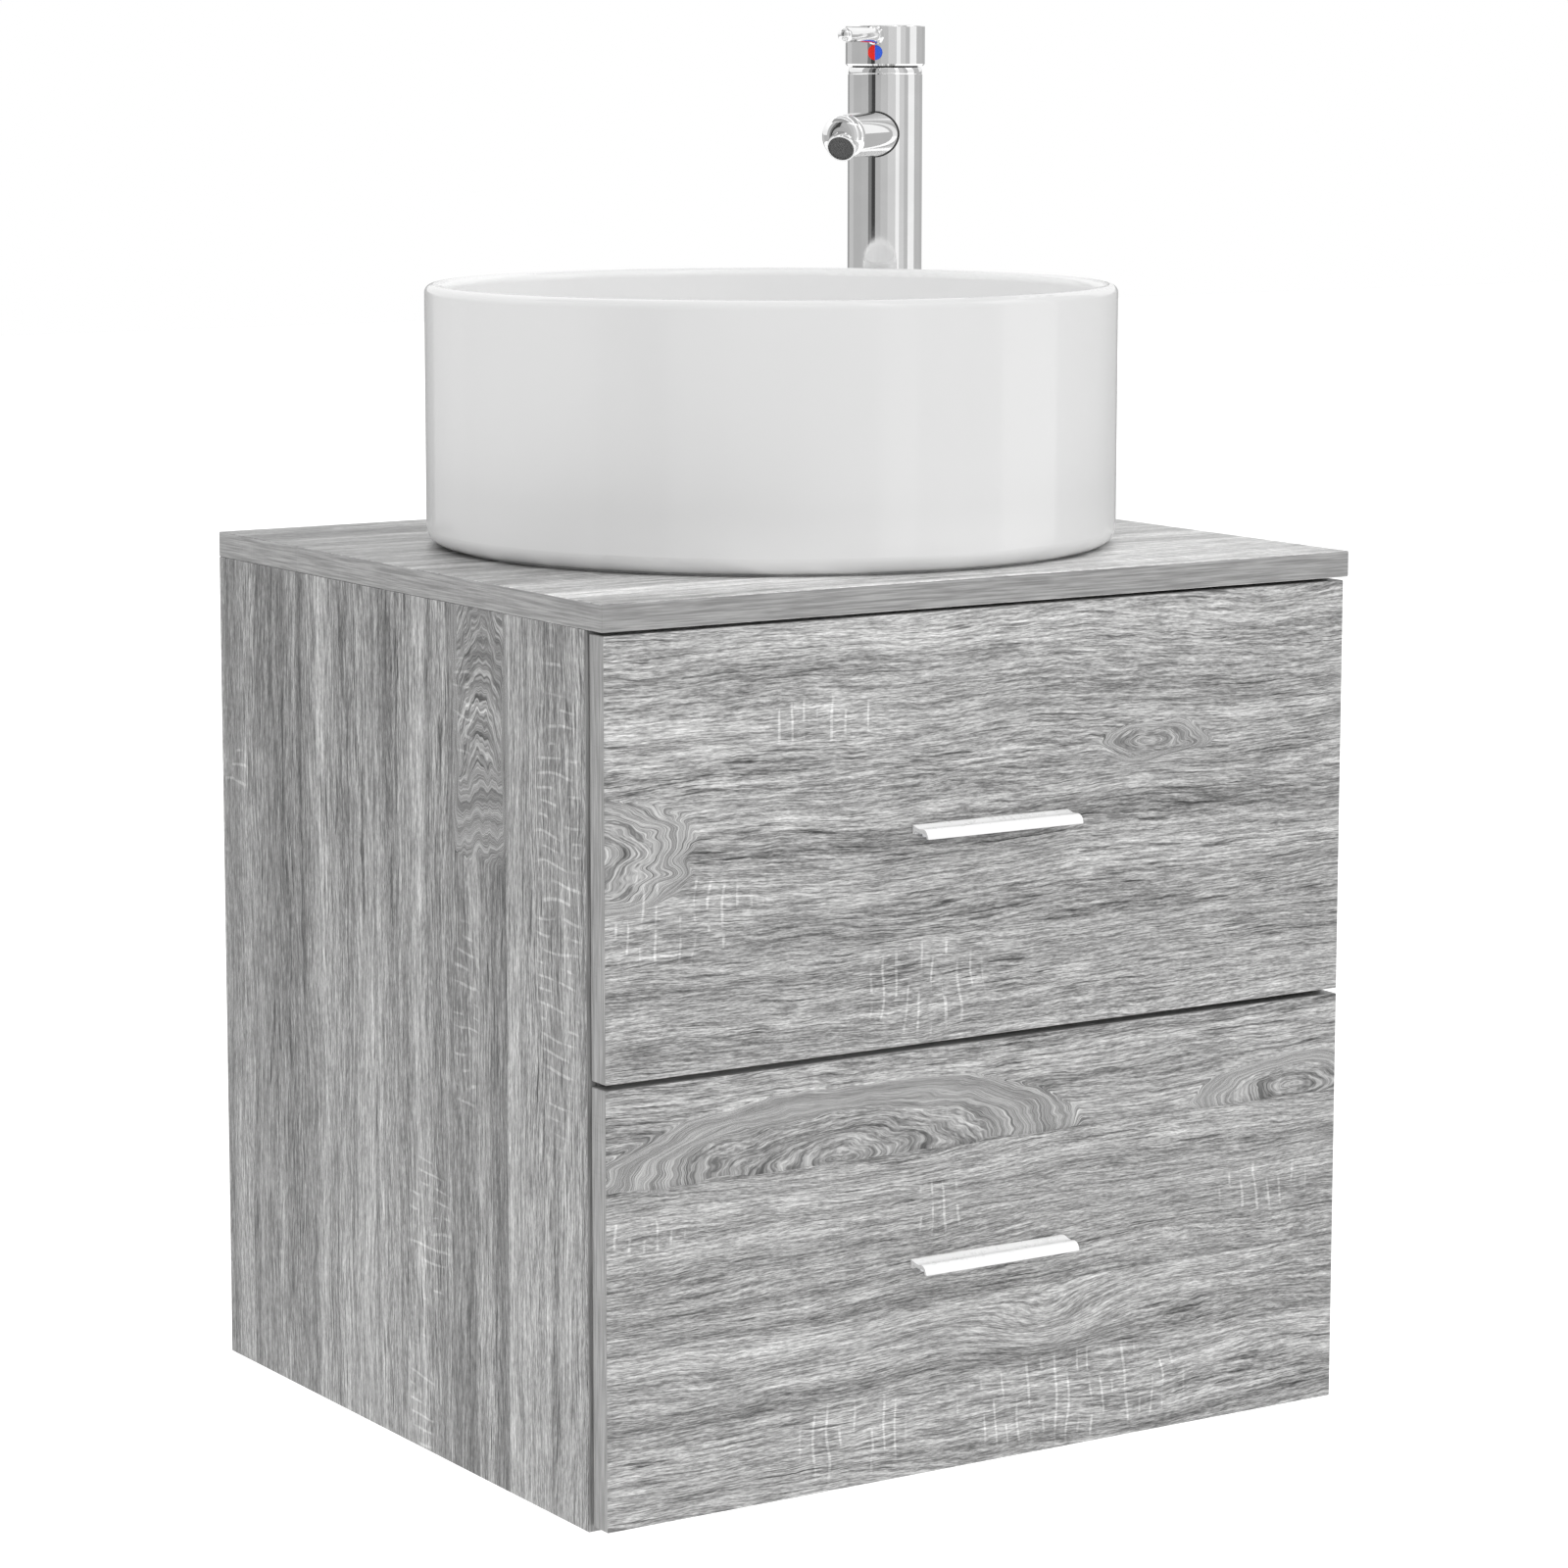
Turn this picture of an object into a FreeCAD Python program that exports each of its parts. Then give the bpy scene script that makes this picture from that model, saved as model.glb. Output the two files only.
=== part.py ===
import FreeCAD, Part
import math
import os
import types

import Sketcher

# Wall-hung bathroom vanity: a two-drawer chipboard cabinet, a round vessel basin standing on it,
# a tall single-lever mixer and the waste and bottle trap under the basin.
#
# Frame: millimetres, +X to the right, +Y towards the wall, +Z up.  The origin lies on the wall
# plane, midway between the two wall bolts.  The drawers open towards -Y.
#
# Every driving size is a cell of the sheet "dims" and every feature is bound to those cells.

DIMENSIONS = {
    # Cabinet boards
    "cabinet_width": 500.0,
    "cabinet_depth": 450.0,
    "top_level": 75.0,            # upper face of the top board above the wall bolts
    "board": 15.0,                # thickness of every board
    "side_height": 490.0,
    "edge_round": 0.8,            # softness of a banded board edge
    "rail_height": 100.0,         # upper back rail
    "lower_rail_height": 80.0,
    # Drawer fronts
    "front_setback": 2.0,         # front face behind the front edge of the top board
    "bumper_gap": 1.5,            # between a closed front and the side panels
    "front_side_gap": 2.0,
    "front_top_gap": 2.0,
    "front_gap": 3.0,
    "upper_front_height": 239.5,
    "lower_front_height": 242.0,
    # Wall hangers and joinery
    "wall_bolt_x": 205.0,
    "wall_bolt_hole": 4.5,        # radius
    "hanger_sheet": 2.0,
    "hanger_width": 45.0,
    "hanger_height": 60.0,
    "dowel_radius": 4.0,
    "dowel_length": 30.0,
    "dowel_play": 0.05,
    "screw_radius": 2.0,
    "screw_play": 0.05,
    "screw_length": 11.0,
    "screw_head_radius": 3.2,
    "screw_head": 1.0,
    # Roller runners: levels are the track surfaces that the rear rollers run on
    "upper_level": -170.0,
    "lower_level": -405.0,
    "sheet_steel": 1.0,
    "track_height": 25.0,
    "track_width": 10.5,
    "channel_length": 400.0,
    "channel_inset": 3.5,         # front end behind the front edge of the side panel
    "roller_radius": 10.9,
    "roller_inner_x": 225.2,
    "roller_width": 6.2,
    "roller_bore": 2.06,
    "axle_radius": 2.0,
    "axle_hub": 3.2,
    "axle_inset": 15.0,           # front roller behind the channel's front end
    "front_axle_height": 12.0,
    "rear_axle_height": 11.0,
    "rear_axle_inset": 8.0,       # rear roller ahead of the drawer's rear end
    # Drawer boxes: steel sides, board bottom and back
    "side_wall_x": 222.5,         # outer face of the steel side
    "side_sheet": 1.2,
    "side_wall_height": 118.0,
    "side_length": 398.0,
    "bottom_flange": 16.5,
    "track_flange": 10.0,
    "track_flange_level": 23.0,
    "top_flange": 10.0,
    "tab_width": 18.3,
    "tab_low": 25.0,
    "tab_high": 95.0,
    "box_play": 0.3,
    "drawer_back_height": 90.0,
    "notch_half_width": 45.0,
    "notch_level": 34.0,
    "liner_wall": 2.0,
    # Handles
    "handle_length": 104.6,
    "handle_rise": 3.0,           # top edge above the middle of its front
    "handle_depth": 15.6,
    "handle_bolt_x": 48.0,
    "handle_bolt_drop": 4.3,
    "handle_boss_radius": 3.5,
    "handle_boss_depth": 8.0,
    "handle_bolt_bite": 6.0,
    "handle_bolt_head": 3.8,
    "handle_bolt_head_height": 2.4,
    # Basin
    "basin_y": -223.0,
    "basin_radius": 202.0,
    "basin_height": 150.0,
    "basin_wall": 10.0,
    "basin_floor": 15.0,
    "basin_foot_round": 9.5,
    "basin_foot_inner": 150.0,
    "basin_corner": 45.0,
    "seal_thickness": 1.0,
    "waste_hole": 22.5,
    "board_waste_hole": 24.0,
    # Waste and bottle trap
    "waste_flange_radius": 32.0,
    "waste_flange": 2.5,
    "waste_recess": 4.0,
    "gasket": 2.0,
    "waste_thread": 20.9,
    "waste_bore": 18.0,
    "waste_end_level": 1.7,
    "waste_nut_height": 10.0,
    "waste_nut_flats": 56.0,
    "plug_radius": 30.5,
    "plug_spindle": 3.0,
    "plug_seat_gap": 0.2,
    "trap_pipe": 16.0,
    "trap_pipe_wall": 1.5,
    "trap_nut_radius": 26.0,
    "trap_nut_height": 20.0,
    "trap_nut_lip": 3.0,
    "trap_socket": 21.0,
    "trap_top_level": -42.0,
    "trap_outlet_level": -85.0,
    "trap_bottle": 30.0,
    "trap_body_end": -120.0,
    "trap_cup_bottom": -132.0,
    "trap_cup_top": -108.0,
    "trap_cup_radius": 32.5,
    "outlet_reach": 45.0,         # pipe end behind the wall plane
    "rosette_radius": 32.0,
    # Mixer: heights are above the top board
    "tap_x": 195.0,
    "tap_y": -52.0,
    "spout_heading": -138.75,     # degrees from +X, towards the middle of the basin
    "board_tap_hole": 17.5,
    "column_radius": 23.5,
    "column_top": 270.0,
    "column_bore": 20.0,
    "tap_base_radius": 26.0,
    "tap_base_height": 3.5,
    "tap_floor": 14.0,
    "cartridge_radius": 17.4,
    "cartridge_seat": 251.5,
    "pivot_height": 269.5,
    "dome_radius": 23.15,
    "spout_height": 233.0,
    "spout_radius": 13.75,
    "spout_end": 105.6,
    "spout_round": 8.0,
    "spigot_radius": 8.0,
    "aerator_radius": 9.0,
    "aerator_tilt": 30.0,         # degrees below the horizontal
    "aerator_x": 105.5,
    "aerator_drop": 7.3,
    "cap_radius": 25.0,
    "cap_bore": 23.6,
    "cap_low": 6.0,               # cap, stem and lever heights are above the pivot
    "cap_high": 31.2,
    "lever_height": 25.0,
    "lever_radius": 4.6,
    "lever_reach": 100.0,
    "mark_height": 14.3,
    "mark_radius": 4.7,
    "stem_width": 8.0,
    "stem_pin": 1.5,
    "inlet_radius": 4.5,
    "inlet_x": 5.5,
    "inlet_y": 8.0,
    "stud_x": -9.0,
    "stud_radius": 4.0,
    "stud_end": -42.0,
}

doc = FreeCAD.newDocument("vanity")
sheet = doc.addObject("Spreadsheet::Sheet", "dims")
for row, (alias, value) in enumerate(DIMENSIONS.items(), start=1):
    sheet.set(f"A{row}", alias.replace("_", " "))
    sheet.set(f"B{row}", str(value))
    sheet.setAlias(f"B{row}", alias)
doc.recompute()


class Size:
    """A length that is known both as a number and as an expression on the sheet."""

    def __init__(self, value, text):
        self.value = value
        self.text = text

    def __add__(self, other):
        other = as_size(other)
        return Size(self.value + other.value, f"({self.text} + {other.text})")

    def __sub__(self, other):
        other = as_size(other)
        return Size(self.value - other.value, f"({self.text} - {other.text})")

    def __mul__(self, factor):
        factor = as_size(factor)
        return Size(self.value * factor.value, f"({self.text} * {factor.text})")

    def __truediv__(self, factor):
        factor = as_size(factor)
        return Size(self.value / factor.value, f"({self.text} / {factor.text})")

    def __rsub__(self, other):
        return as_size(other) - self

    def __neg__(self):
        return self * -1

    __radd__ = __add__
    __rmul__ = __mul__


def as_size(number):
    """A Size as it is, or a plain number as a constant Size."""
    if isinstance(number, Size):
        return number
    return Size(float(number), f"({float(number)!r})")


d = types.SimpleNamespace(**{name: Size(value, f"dims.{name}") for name, value in DIMENSIONS.items()})

half_width = d.cabinet_width / 2
inner_half = half_width - d.board
underside = d.top_level - d.board
side_bottom = underside - d.side_height
front_face = d.front_setback - d.cabinet_depth
front_back = front_face + d.board
side_front = front_back + d.bumper_gap
channel_front = side_front + d.channel_inset
channel_rear = channel_front + d.channel_length
drawer_rear = front_back + d.side_length
basin_bottom = d.top_level + d.seal_thickness
drawer_floor = d.side_sheet + d.board
screw_hole = d.screw_radius + d.screw_play
LEFT = -1
RIGHT = 1
SIDES = {"left": LEFT, "right": RIGHT}

# ------------------------------------------------------------------ modelling helpers

PLANES = {"X": ("YZ_Plane", 1), "Y": ("XZ_Plane", -1), "Z": ("XY_Plane", 1)}
exported = []


def new_body(label, base=(0, 0, 0)):
    """A PartDesign body that becomes one node, placed at base: each entry is a Size or 0."""
    body = doc.addObject("PartDesign::Body", label)
    body.Label = label
    for letter, size in zip("xyz", base):
        if isinstance(size, Size):
            body.setExpression(f"Placement.Base.{letter}", size.text)
    exported.append(body)
    return body


def draw(body, axis, start=0):
    """A sketch across an axis of the body, at the coordinate start on that axis."""
    role, normal = PLANES[axis]
    sketch = body.newObject("Sketcher::SketchObject", f"{body.Name}_sketch")
    plane = next(item for item in body.Origin.OriginFeatures if item.Role == role)
    sketch.AttachmentSupport = [(plane, "")]
    sketch.MapMode = "FlatFace"
    sketch.setExpression("AttachmentOffset.Base.z", (as_size(start) * normal).text)
    return sketch


def fix_point(sketch, geometry, position, point):
    """Dimension one point of a sketch from the sketch's origin."""
    for kind, size, own_axis in zip(("DistanceX", "DistanceY"), point, (-2, -1)):
        size = as_size(size)
        if abs(size.value) < 1e-9:
            sketch.addConstraint(Sketcher.Constraint("PointOnObject", geometry, position, own_axis))
            continue
        index = sketch.addConstraint(Sketcher.Constraint(kind, -1, 1, geometry, position, size.value))
        sketch.setExpression(f"Constraints[{index}]", size.text)


def polygon(sketch, points):
    """A closed outline of straight lines with every corner dimensioned."""
    corners = [FreeCAD.Vector(as_size(u).value, as_size(v).value, 0) for u, v in points]
    following = corners[1:] + corners[:1]
    first = sketch.GeometryCount
    for start, end in zip(corners, following):
        sketch.addGeometry(Part.LineSegment(start, end), False)
    last = sketch.GeometryCount - 1
    for index in range(first, last + 1):
        neighbour = first if index == last else index + 1
        sketch.addConstraint(Sketcher.Constraint("Coincident", index, 2, neighbour, 1))
    for index, point in enumerate(points):
        fix_point(sketch, first + index, 1, point)


def rectangle(sketch, low, high):
    """A rectangle between two opposite corners."""
    polygon(sketch, [low, (high[0], low[1]), high, (low[0], high[1])])


def hexagon(sketch, across_flats):
    """A regular hexagon about the sketch's origin."""
    corner = across_flats / (2 * math.cos(math.pi / 6))
    angles = [math.pi / 3 * step + math.pi / 6 for step in range(6)]
    polygon(sketch, [(corner * math.cos(angle), corner * math.sin(angle)) for angle in angles])


def circle(sketch, centre, radius):
    """A circle with its centre and radius dimensioned."""
    radius = as_size(radius)
    at = FreeCAD.Vector(as_size(centre[0]).value, as_size(centre[1]).value, 0)
    index = sketch.addGeometry(Part.Circle(at, FreeCAD.Vector(0, 0, 1), radius.value), False)
    fix_point(sketch, index, 3, centre)
    constraint = sketch.addConstraint(Sketcher.Constraint("Radius", index, radius.value))
    sketch.setExpression(f"Constraints[{constraint}]", radius.text)


def extrude(body, sketch, axis, length, towards=1):
    """Pad a sketch along its axis, towards +axis or -axis."""
    pad = body.newObject("PartDesign::Pad", f"{body.Name}_pad")
    pad.Profile = sketch
    pad.setExpression("Length", as_size(length).text)
    pad.Reversed = towards != PLANES[axis][1]
    return pad


def carve(body, sketch, axis, length, towards=1):
    """Pocket a sketch along its axis, towards +axis or -axis."""
    doc.recompute()
    before = body.Shape.Volume
    pocket = body.newObject("PartDesign::Pocket", f"{body.Name}_pocket")
    pocket.Profile = sketch
    pocket.setExpression("Length", as_size(length).text)
    pocket.Reversed = towards == PLANES[axis][1]
    doc.recompute()
    if body.Shape.Volume >= before:
        raise RuntimeError(f"{pocket.Label} removed nothing")
    return pocket


def drill(body, axis, centres, radius, start, depth, towards=1):
    """Round holes across an axis, from the coordinate start inwards."""
    sketch = draw(body, axis, start)
    for centre in centres:
        circle(sketch, centre, radius)
    return carve(body, sketch, axis, depth, towards)


def turn(body, points, axis="V_Axis"):
    """Revolve an outline drawn across Y about the upright or the level sketch axis."""
    sketch = draw(body, "Y")
    polygon(sketch, points)
    turned = body.newObject("PartDesign::Revolution", f"{body.Name}_turned")
    turned.Profile = sketch
    turned.ReferenceAxis = (sketch, [axis])
    turned.Angle = 360
    return turned


def soften(body, radius, chosen):
    """Round the edges of the body's latest feature that the test accepts."""
    doc.recompute()
    base = body.Tip
    names = [f"Edge{number}" for number, edge in enumerate(base.Shape.Edges, start=1) if chosen(edge)]
    if not names:
        raise RuntimeError(f"no edge to round on {body.Label}")
    fillet = body.newObject("PartDesign::Fillet", f"{body.Name}_round")
    fillet.Base = (base, names)
    fillet.setExpression("Radius", as_size(radius).text)
    return fillet


def every_edge(edge):
    return True


def ring_at(radius, level):
    """Test for a round edge about the local Z axis."""
    wanted = FreeCAD.Vector(as_size(radius).value, as_size(level).value, 0)

    def test(edge):
        curve = edge.Curve
        if not isinstance(curve, Part.Circle):
            return False
        return wanted.distanceToPoint(FreeCAD.Vector(curve.Radius, curve.Center.z, 0)) < 0.01
    return test


def line_along_x_at(*places):
    """Test for a straight edge along X that passes through one of the (y, z) places."""
    def test(edge):
        ends = [vertex.Point for vertex in edge.Vertexes]
        if len(ends) != 2 or abs(ends[0].x - ends[1].x) < 1:
            return False
        for y, z in places:
            target_y, target_z = as_size(y).value, as_size(z).value
            if all(abs(end.y - target_y) < 0.01 and abs(end.z - target_z) < 0.01 for end in ends):
                return True
        return False
    return test


def board(label, low, high, base=(0, 0, 0)):
    """A rectangular board with softened edges."""
    body = new_body(label, base)
    sketch = draw(body, "Z", low[2])
    rectangle(sketch, low[:2], high[:2])
    extrude(body, sketch, "Z", as_size(high[2]) - low[2])
    soften(body, d.edge_round, every_edge)
    return body


def ring(label, inner, outer, low, high, base=(0, 0, 0)):
    """A flat turned ring."""
    body = new_body(label, base)
    turn(body, [(inner, low), (outer, low), (outer, high), (inner, high)])
    return body


def copies(label, placed):
    """One node of identical pieces: (master, placements) pairs as separate solids."""
    solids = []
    for master, placements in placed:
        for placement in placements:
            solid = master.Shape.copy()
            solid.Placement = placement
            solids.append(solid)
    group = doc.addObject("Part::Feature", label)
    group.Label = label
    group.Shape = Part.makeCompound(solids)
    exported.append(group)
    return group


def master_copy(body):
    """Keep a body as the pattern for copies, without a node of its own."""
    doc.recompute()
    exported.remove(body)
    return body


def pointing(x, y, z, direction):
    """A placement whose local +Z points along direction, at sizes x, y, z."""
    at = FreeCAD.Vector(*[as_size(size).value for size in (x, y, z)])
    return FreeCAD.Placement(at, FreeCAD.Rotation(FreeCAD.Vector(0, 0, 1), FreeCAD.Vector(*direction)))


# ------------------------------------------------------------------ cabinet

dowel_hole = d.dowel_radius + d.dowel_play
dowel_x = inner_half + d.board / 2
top_dowel_depth = 10.0
bottom_dowel_depth = 8.0
end_grain = d.dowel_length - bottom_dowel_depth
top_dowels_y = [-60.0, -215.0, -370.0]
bottom_dowels = [(-60.0, side_bottom + d.board / 2), (-370.0, side_bottom + d.board / 2)]
rail_top = underside
rail_bottom = underside - d.rail_height
lower_rail_bottom = side_bottom + d.board
lower_rail_top = lower_rail_bottom + d.lower_rail_height
upper_rail_dowels = [(-d.board / 2, rail_top - 20), (-d.board / 2, rail_bottom + 20)]
lower_rail_dowels = [(-d.board / 2, lower_rail_top - 20), (-d.board / 2, lower_rail_bottom + 20)]
end_dowels = bottom_dowels + upper_rail_dowels + lower_rail_dowels
channel_screws_y = [-380.0, -215.0, -60.0]
hanger_screw_places = [(-40.0, 20.0), (-40.0, -20.0)]
channel_levels = {"upper": d.upper_level, "lower": d.lower_level}

top_board = board("top_board", (-half_width, -d.cabinet_depth, underside), (half_width, 0, d.top_level))
drill(top_board, "Z", [(0, d.basin_y)], d.board_waste_hole, d.top_level, d.board, towards=-1)
drill(top_board, "Z", [(d.tap_x, d.tap_y)], d.board_tap_hole, d.top_level, d.board, towards=-1)
drill(top_board, "Z", [(side * dowel_x, y) for side in SIDES.values() for y in top_dowels_y],
      dowel_hole, underside, top_dowel_depth + 0.3)


def side_panel(name, side):
    """An upright side board, drilled on its inner face for dowels and screws."""
    inner, outer = side * inner_half, side * half_width
    low_x, high_x = (inner, outer) if side == RIGHT else (outer, inner)
    body = board(f"side_panel_{name}", (low_x, side_front, side_bottom), (high_x, 0, underside))
    drill(body, "Z", [(side * dowel_x, y) for y in top_dowels_y],
          dowel_hole, underside, d.dowel_length - top_dowel_depth + 0.3, towards=-1)
    drill(body, "X", end_dowels, dowel_hole, inner, bottom_dowel_depth + 0.3, towards=side)
    runner_screws = [(y, level + d.front_axle_height)
                     for level in channel_levels.values() for y in channel_screws_y]
    drill(body, "X", runner_screws + hanger_screw_places, screw_hole, inner, d.screw_length, towards=side)


for name, side in SIDES.items():
    side_panel(name, side)


def cross_board(label, low, high, dowels):
    """A board between the side panels, drilled in both ends for dowels."""
    body = board(label, low, high)
    for side in SIDES.values():
        drill(body, "X", dowels, dowel_hole, side * inner_half, end_grain + 0.3, towards=-side)
    return body


cross_board("bottom_panel", (-inner_half, side_front, side_bottom),
            (inner_half, 0, side_bottom + d.board), bottom_dowels)
upper_rail = cross_board("back_rail_upper", (-inner_half, -d.board, rail_bottom),
                         (inner_half, 0, rail_top), upper_rail_dowels)
drill(upper_rail, "Y", [(side * d.wall_bolt_x, 0) for side in SIDES.values()],
      d.wall_bolt_hole, 0, d.board, towards=-1)
cross_board("back_rail_lower", (-inner_half, -d.board, lower_rail_bottom),
            (inner_half, 0, lower_rail_top), lower_rail_dowels)


def wall_hanger(name, side):
    """A steel angle in the upper rear corner that takes the wall bolt."""
    body = new_body(f"wall_hanger_{name}")
    rear = -d.board
    front = rear - d.hanger_width
    sketch = draw(body, "Z", -d.hanger_height / 2)
    polygon(sketch, [
        (side * inner_half, rear),
        (side * (inner_half - d.hanger_width), rear),
        (side * (inner_half - d.hanger_width), rear - d.hanger_sheet),
        (side * (inner_half - d.hanger_sheet), rear - d.hanger_sheet),
        (side * (inner_half - d.hanger_sheet), front),
        (side * inner_half, front),
    ])
    extrude(body, sketch, "Z", d.hanger_height)
    drill(body, "Y", [(side * d.wall_bolt_x, 0)], d.wall_bolt_hole, rear, d.hanger_sheet, towards=-1)
    drill(body, "X", hanger_screw_places, screw_hole, side * inner_half, d.hanger_sheet, towards=-side)


for name, side in SIDES.items():
    wall_hanger(name, side)

# A plain wood dowel, its origin in the middle of one end.
dowel = new_body("dowel_pattern")
turn(dowel, [
    (0, 0), (d.dowel_radius - 0.6, 0), (d.dowel_radius, 0.6), (d.dowel_radius, d.dowel_length - 0.6),
    (d.dowel_radius - 0.6, d.dowel_length), (0, d.dowel_length)])
master_copy(dowel)
dowel_places = []
for side in SIDES.values():
    dowel_places += [
        pointing(side * dowel_x, y, underside + top_dowel_depth, (0, 0, -1)) for y in top_dowels_y]
    dowel_places += [
        pointing(side * (inner_half + bottom_dowel_depth), y, z, (-side, 0, 0)) for y, z in end_dowels]
copies("carcass_dowels", [(dowel, dowel_places)])

# A flat-headed chipboard screw.  Its origin is under the head and its shank runs along +Z.
screw = new_body("screw_pattern")
turn(screw, [
    (0, -d.screw_head), (d.screw_head_radius - 0.4, -d.screw_head), (d.screw_head_radius, 0),
    (d.screw_radius, 0), (d.screw_radius, d.screw_length - 2), (0.3, d.screw_length), (0, d.screw_length)])
master_copy(screw)
panel_screw_places = []
for side in SIDES.values():
    into_panel = (side, 0, 0)
    panel_screw_places += [
        pointing(side * (inner_half - d.sheet_steel), y, level + d.front_axle_height, into_panel)
        for level in channel_levels.values() for y in channel_screws_y]
    panel_screw_places += [
        pointing(side * (inner_half - d.hanger_sheet), y, z, into_panel) for y, z in hanger_screw_places]
copies("panel_screws", [(screw, panel_screw_places)])

# ------------------------------------------------------------------ runners

roller_outer_x = d.roller_inner_x + d.roller_width
roller_gap = 0.3
axle_head = 0.7
front_axle_y = channel_front + d.axle_inset
rear_axle_y = drawer_rear - d.rear_axle_inset


def stub_axle(body, side, y, z, root_x, end_x):
    """A riveted axle along X with a shoulder and a head on either side of its roller."""
    towards = side if end_x.value > root_x.value else -side
    shoulder_x = d.roller_inner_x - roller_gap if towards == side else roller_outer_x + roller_gap
    head_x = roller_outer_x + roller_gap if towards == side else d.roller_inner_x - roller_gap
    for start, radius, end in ((root_x, d.axle_hub, shoulder_x), (root_x, d.axle_radius, end_x),
                               (head_x, d.axle_hub - 0.2, end_x)):
        sketch = draw(body, "X", side * start)
        circle(sketch, (y, z), radius)
        length = end - start if towards == side else start - end
        extrude(body, sketch, "X", length, towards=towards)


def channel(level_name, level, name, side):
    """The cabinet half of a runner: a C-shaped steel track with the front roller's axle."""
    body = new_body(f"{level_name}_channel_{name}", (0, 0, level))
    lip_x = inner_half - d.track_width
    web_x = inner_half - d.sheet_steel
    profile = [
        (inner_half, -d.sheet_steel), (inner_half, d.track_height + d.sheet_steel),
        (lip_x, d.track_height + d.sheet_steel), (lip_x, d.track_height),
        (web_x, d.track_height), (web_x, 0), (lip_x, 0), (lip_x, -d.sheet_steel),
    ]
    sketch = draw(body, "Y", channel_front)
    polygon(sketch, [(side * x, z) for x, z in profile])
    extrude(body, sketch, "Y", d.channel_length)
    stub_axle(body, side, front_axle_y, d.front_axle_height,
              web_x, d.roller_inner_x - roller_gap - axle_head)
    drill(body, "X", [(y, d.front_axle_height) for y in channel_screws_y],
          screw_hole, side * inner_half, d.sheet_steel, towards=-side)


for level_name, level in channel_levels.items():
    for name, side in SIDES.items():
        channel(level_name, level, name, side)

# A nylon runner roller.  Its axis is local Z and its origin is in the middle of its bore.
roller = new_body("roller_pattern")
half_roller = d.roller_width / 2
turn(roller, [
    (d.roller_bore, -half_roller), (d.roller_radius - 0.6, -half_roller),
    (d.roller_radius, -half_roller + 0.6), (d.roller_radius, half_roller - 0.6),
    (d.roller_radius - 0.6, half_roller), (d.roller_bore, half_roller)])
master_copy(roller)


def roller_pair(label, y, z):
    """The left and right rollers that turn on one line across the cabinet."""
    middle_x = d.roller_inner_x + half_roller
    copies(label, [(roller, [pointing(side * middle_x, y, z, (side, 0, 0)) for side in SIDES.values()])])


for level_name, level in channel_levels.items():
    roller_pair(f"{level_name}_front_rollers", front_axle_y, level + d.front_axle_height)
    roller_pair(f"{level_name}_rear_rollers", rear_axle_y, level + d.rear_axle_height)

# ------------------------------------------------------------------ drawers

upper_front_top = underside - d.front_top_gap
upper_front_bottom = upper_front_top - d.upper_front_height
lower_front_top = upper_front_bottom - d.front_gap
lower_front_bottom = lower_front_top - d.lower_front_height
front_edges = {
    "upper": (upper_front_bottom, upper_front_top),
    "lower": (lower_front_bottom, lower_front_top),
}
tab_x = 212.0
tab_screws_z = [40.0, 80.0]
back_screws_z = [55.0, 92.0]
bottom_screw_x = 213.0
bottom_screws_y = [-380.0, -100.0]
back_middle_y = drawer_rear - d.board / 2

# An M4 handle bolt.  Its origin is under the head and its shank runs along +Z.
handle_bolt = new_body("handle_bolt_pattern")
handle_bolt_length = d.board + d.handle_bolt_bite
turn(handle_bolt, [
    (0, -d.handle_bolt_head_height), (d.handle_bolt_head - 1, -d.handle_bolt_head_height),
    (d.handle_bolt_head, -1), (d.handle_bolt_head, 0), (d.screw_radius, 0),
    (d.screw_radius, handle_bolt_length), (0, handle_bolt_length)])
master_copy(handle_bolt)


def drawer_front(level_name, level, handle_z):
    """The drawer's face board, drilled for its handle and its side tabs."""
    low, high = front_edges[level_name]
    reach = half_width - d.front_side_gap
    body = board(f"{level_name}_drawer_front", (-reach, front_face, low - level),
                 (reach, front_back, high - level), (0, 0, level))
    handle_holes = [(side * d.handle_bolt_x, handle_z - d.handle_bolt_drop) for side in SIDES.values()]
    drill(body, "Y", handle_holes, screw_hole, front_back, d.board, towards=-1)
    tab_holes = [(side * tab_x, z) for side in SIDES.values() for z in tab_screws_z]
    drill(body, "Y", tab_holes, screw_hole, front_back, d.screw_length - d.side_sheet + 0.3, towards=-1)


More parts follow.
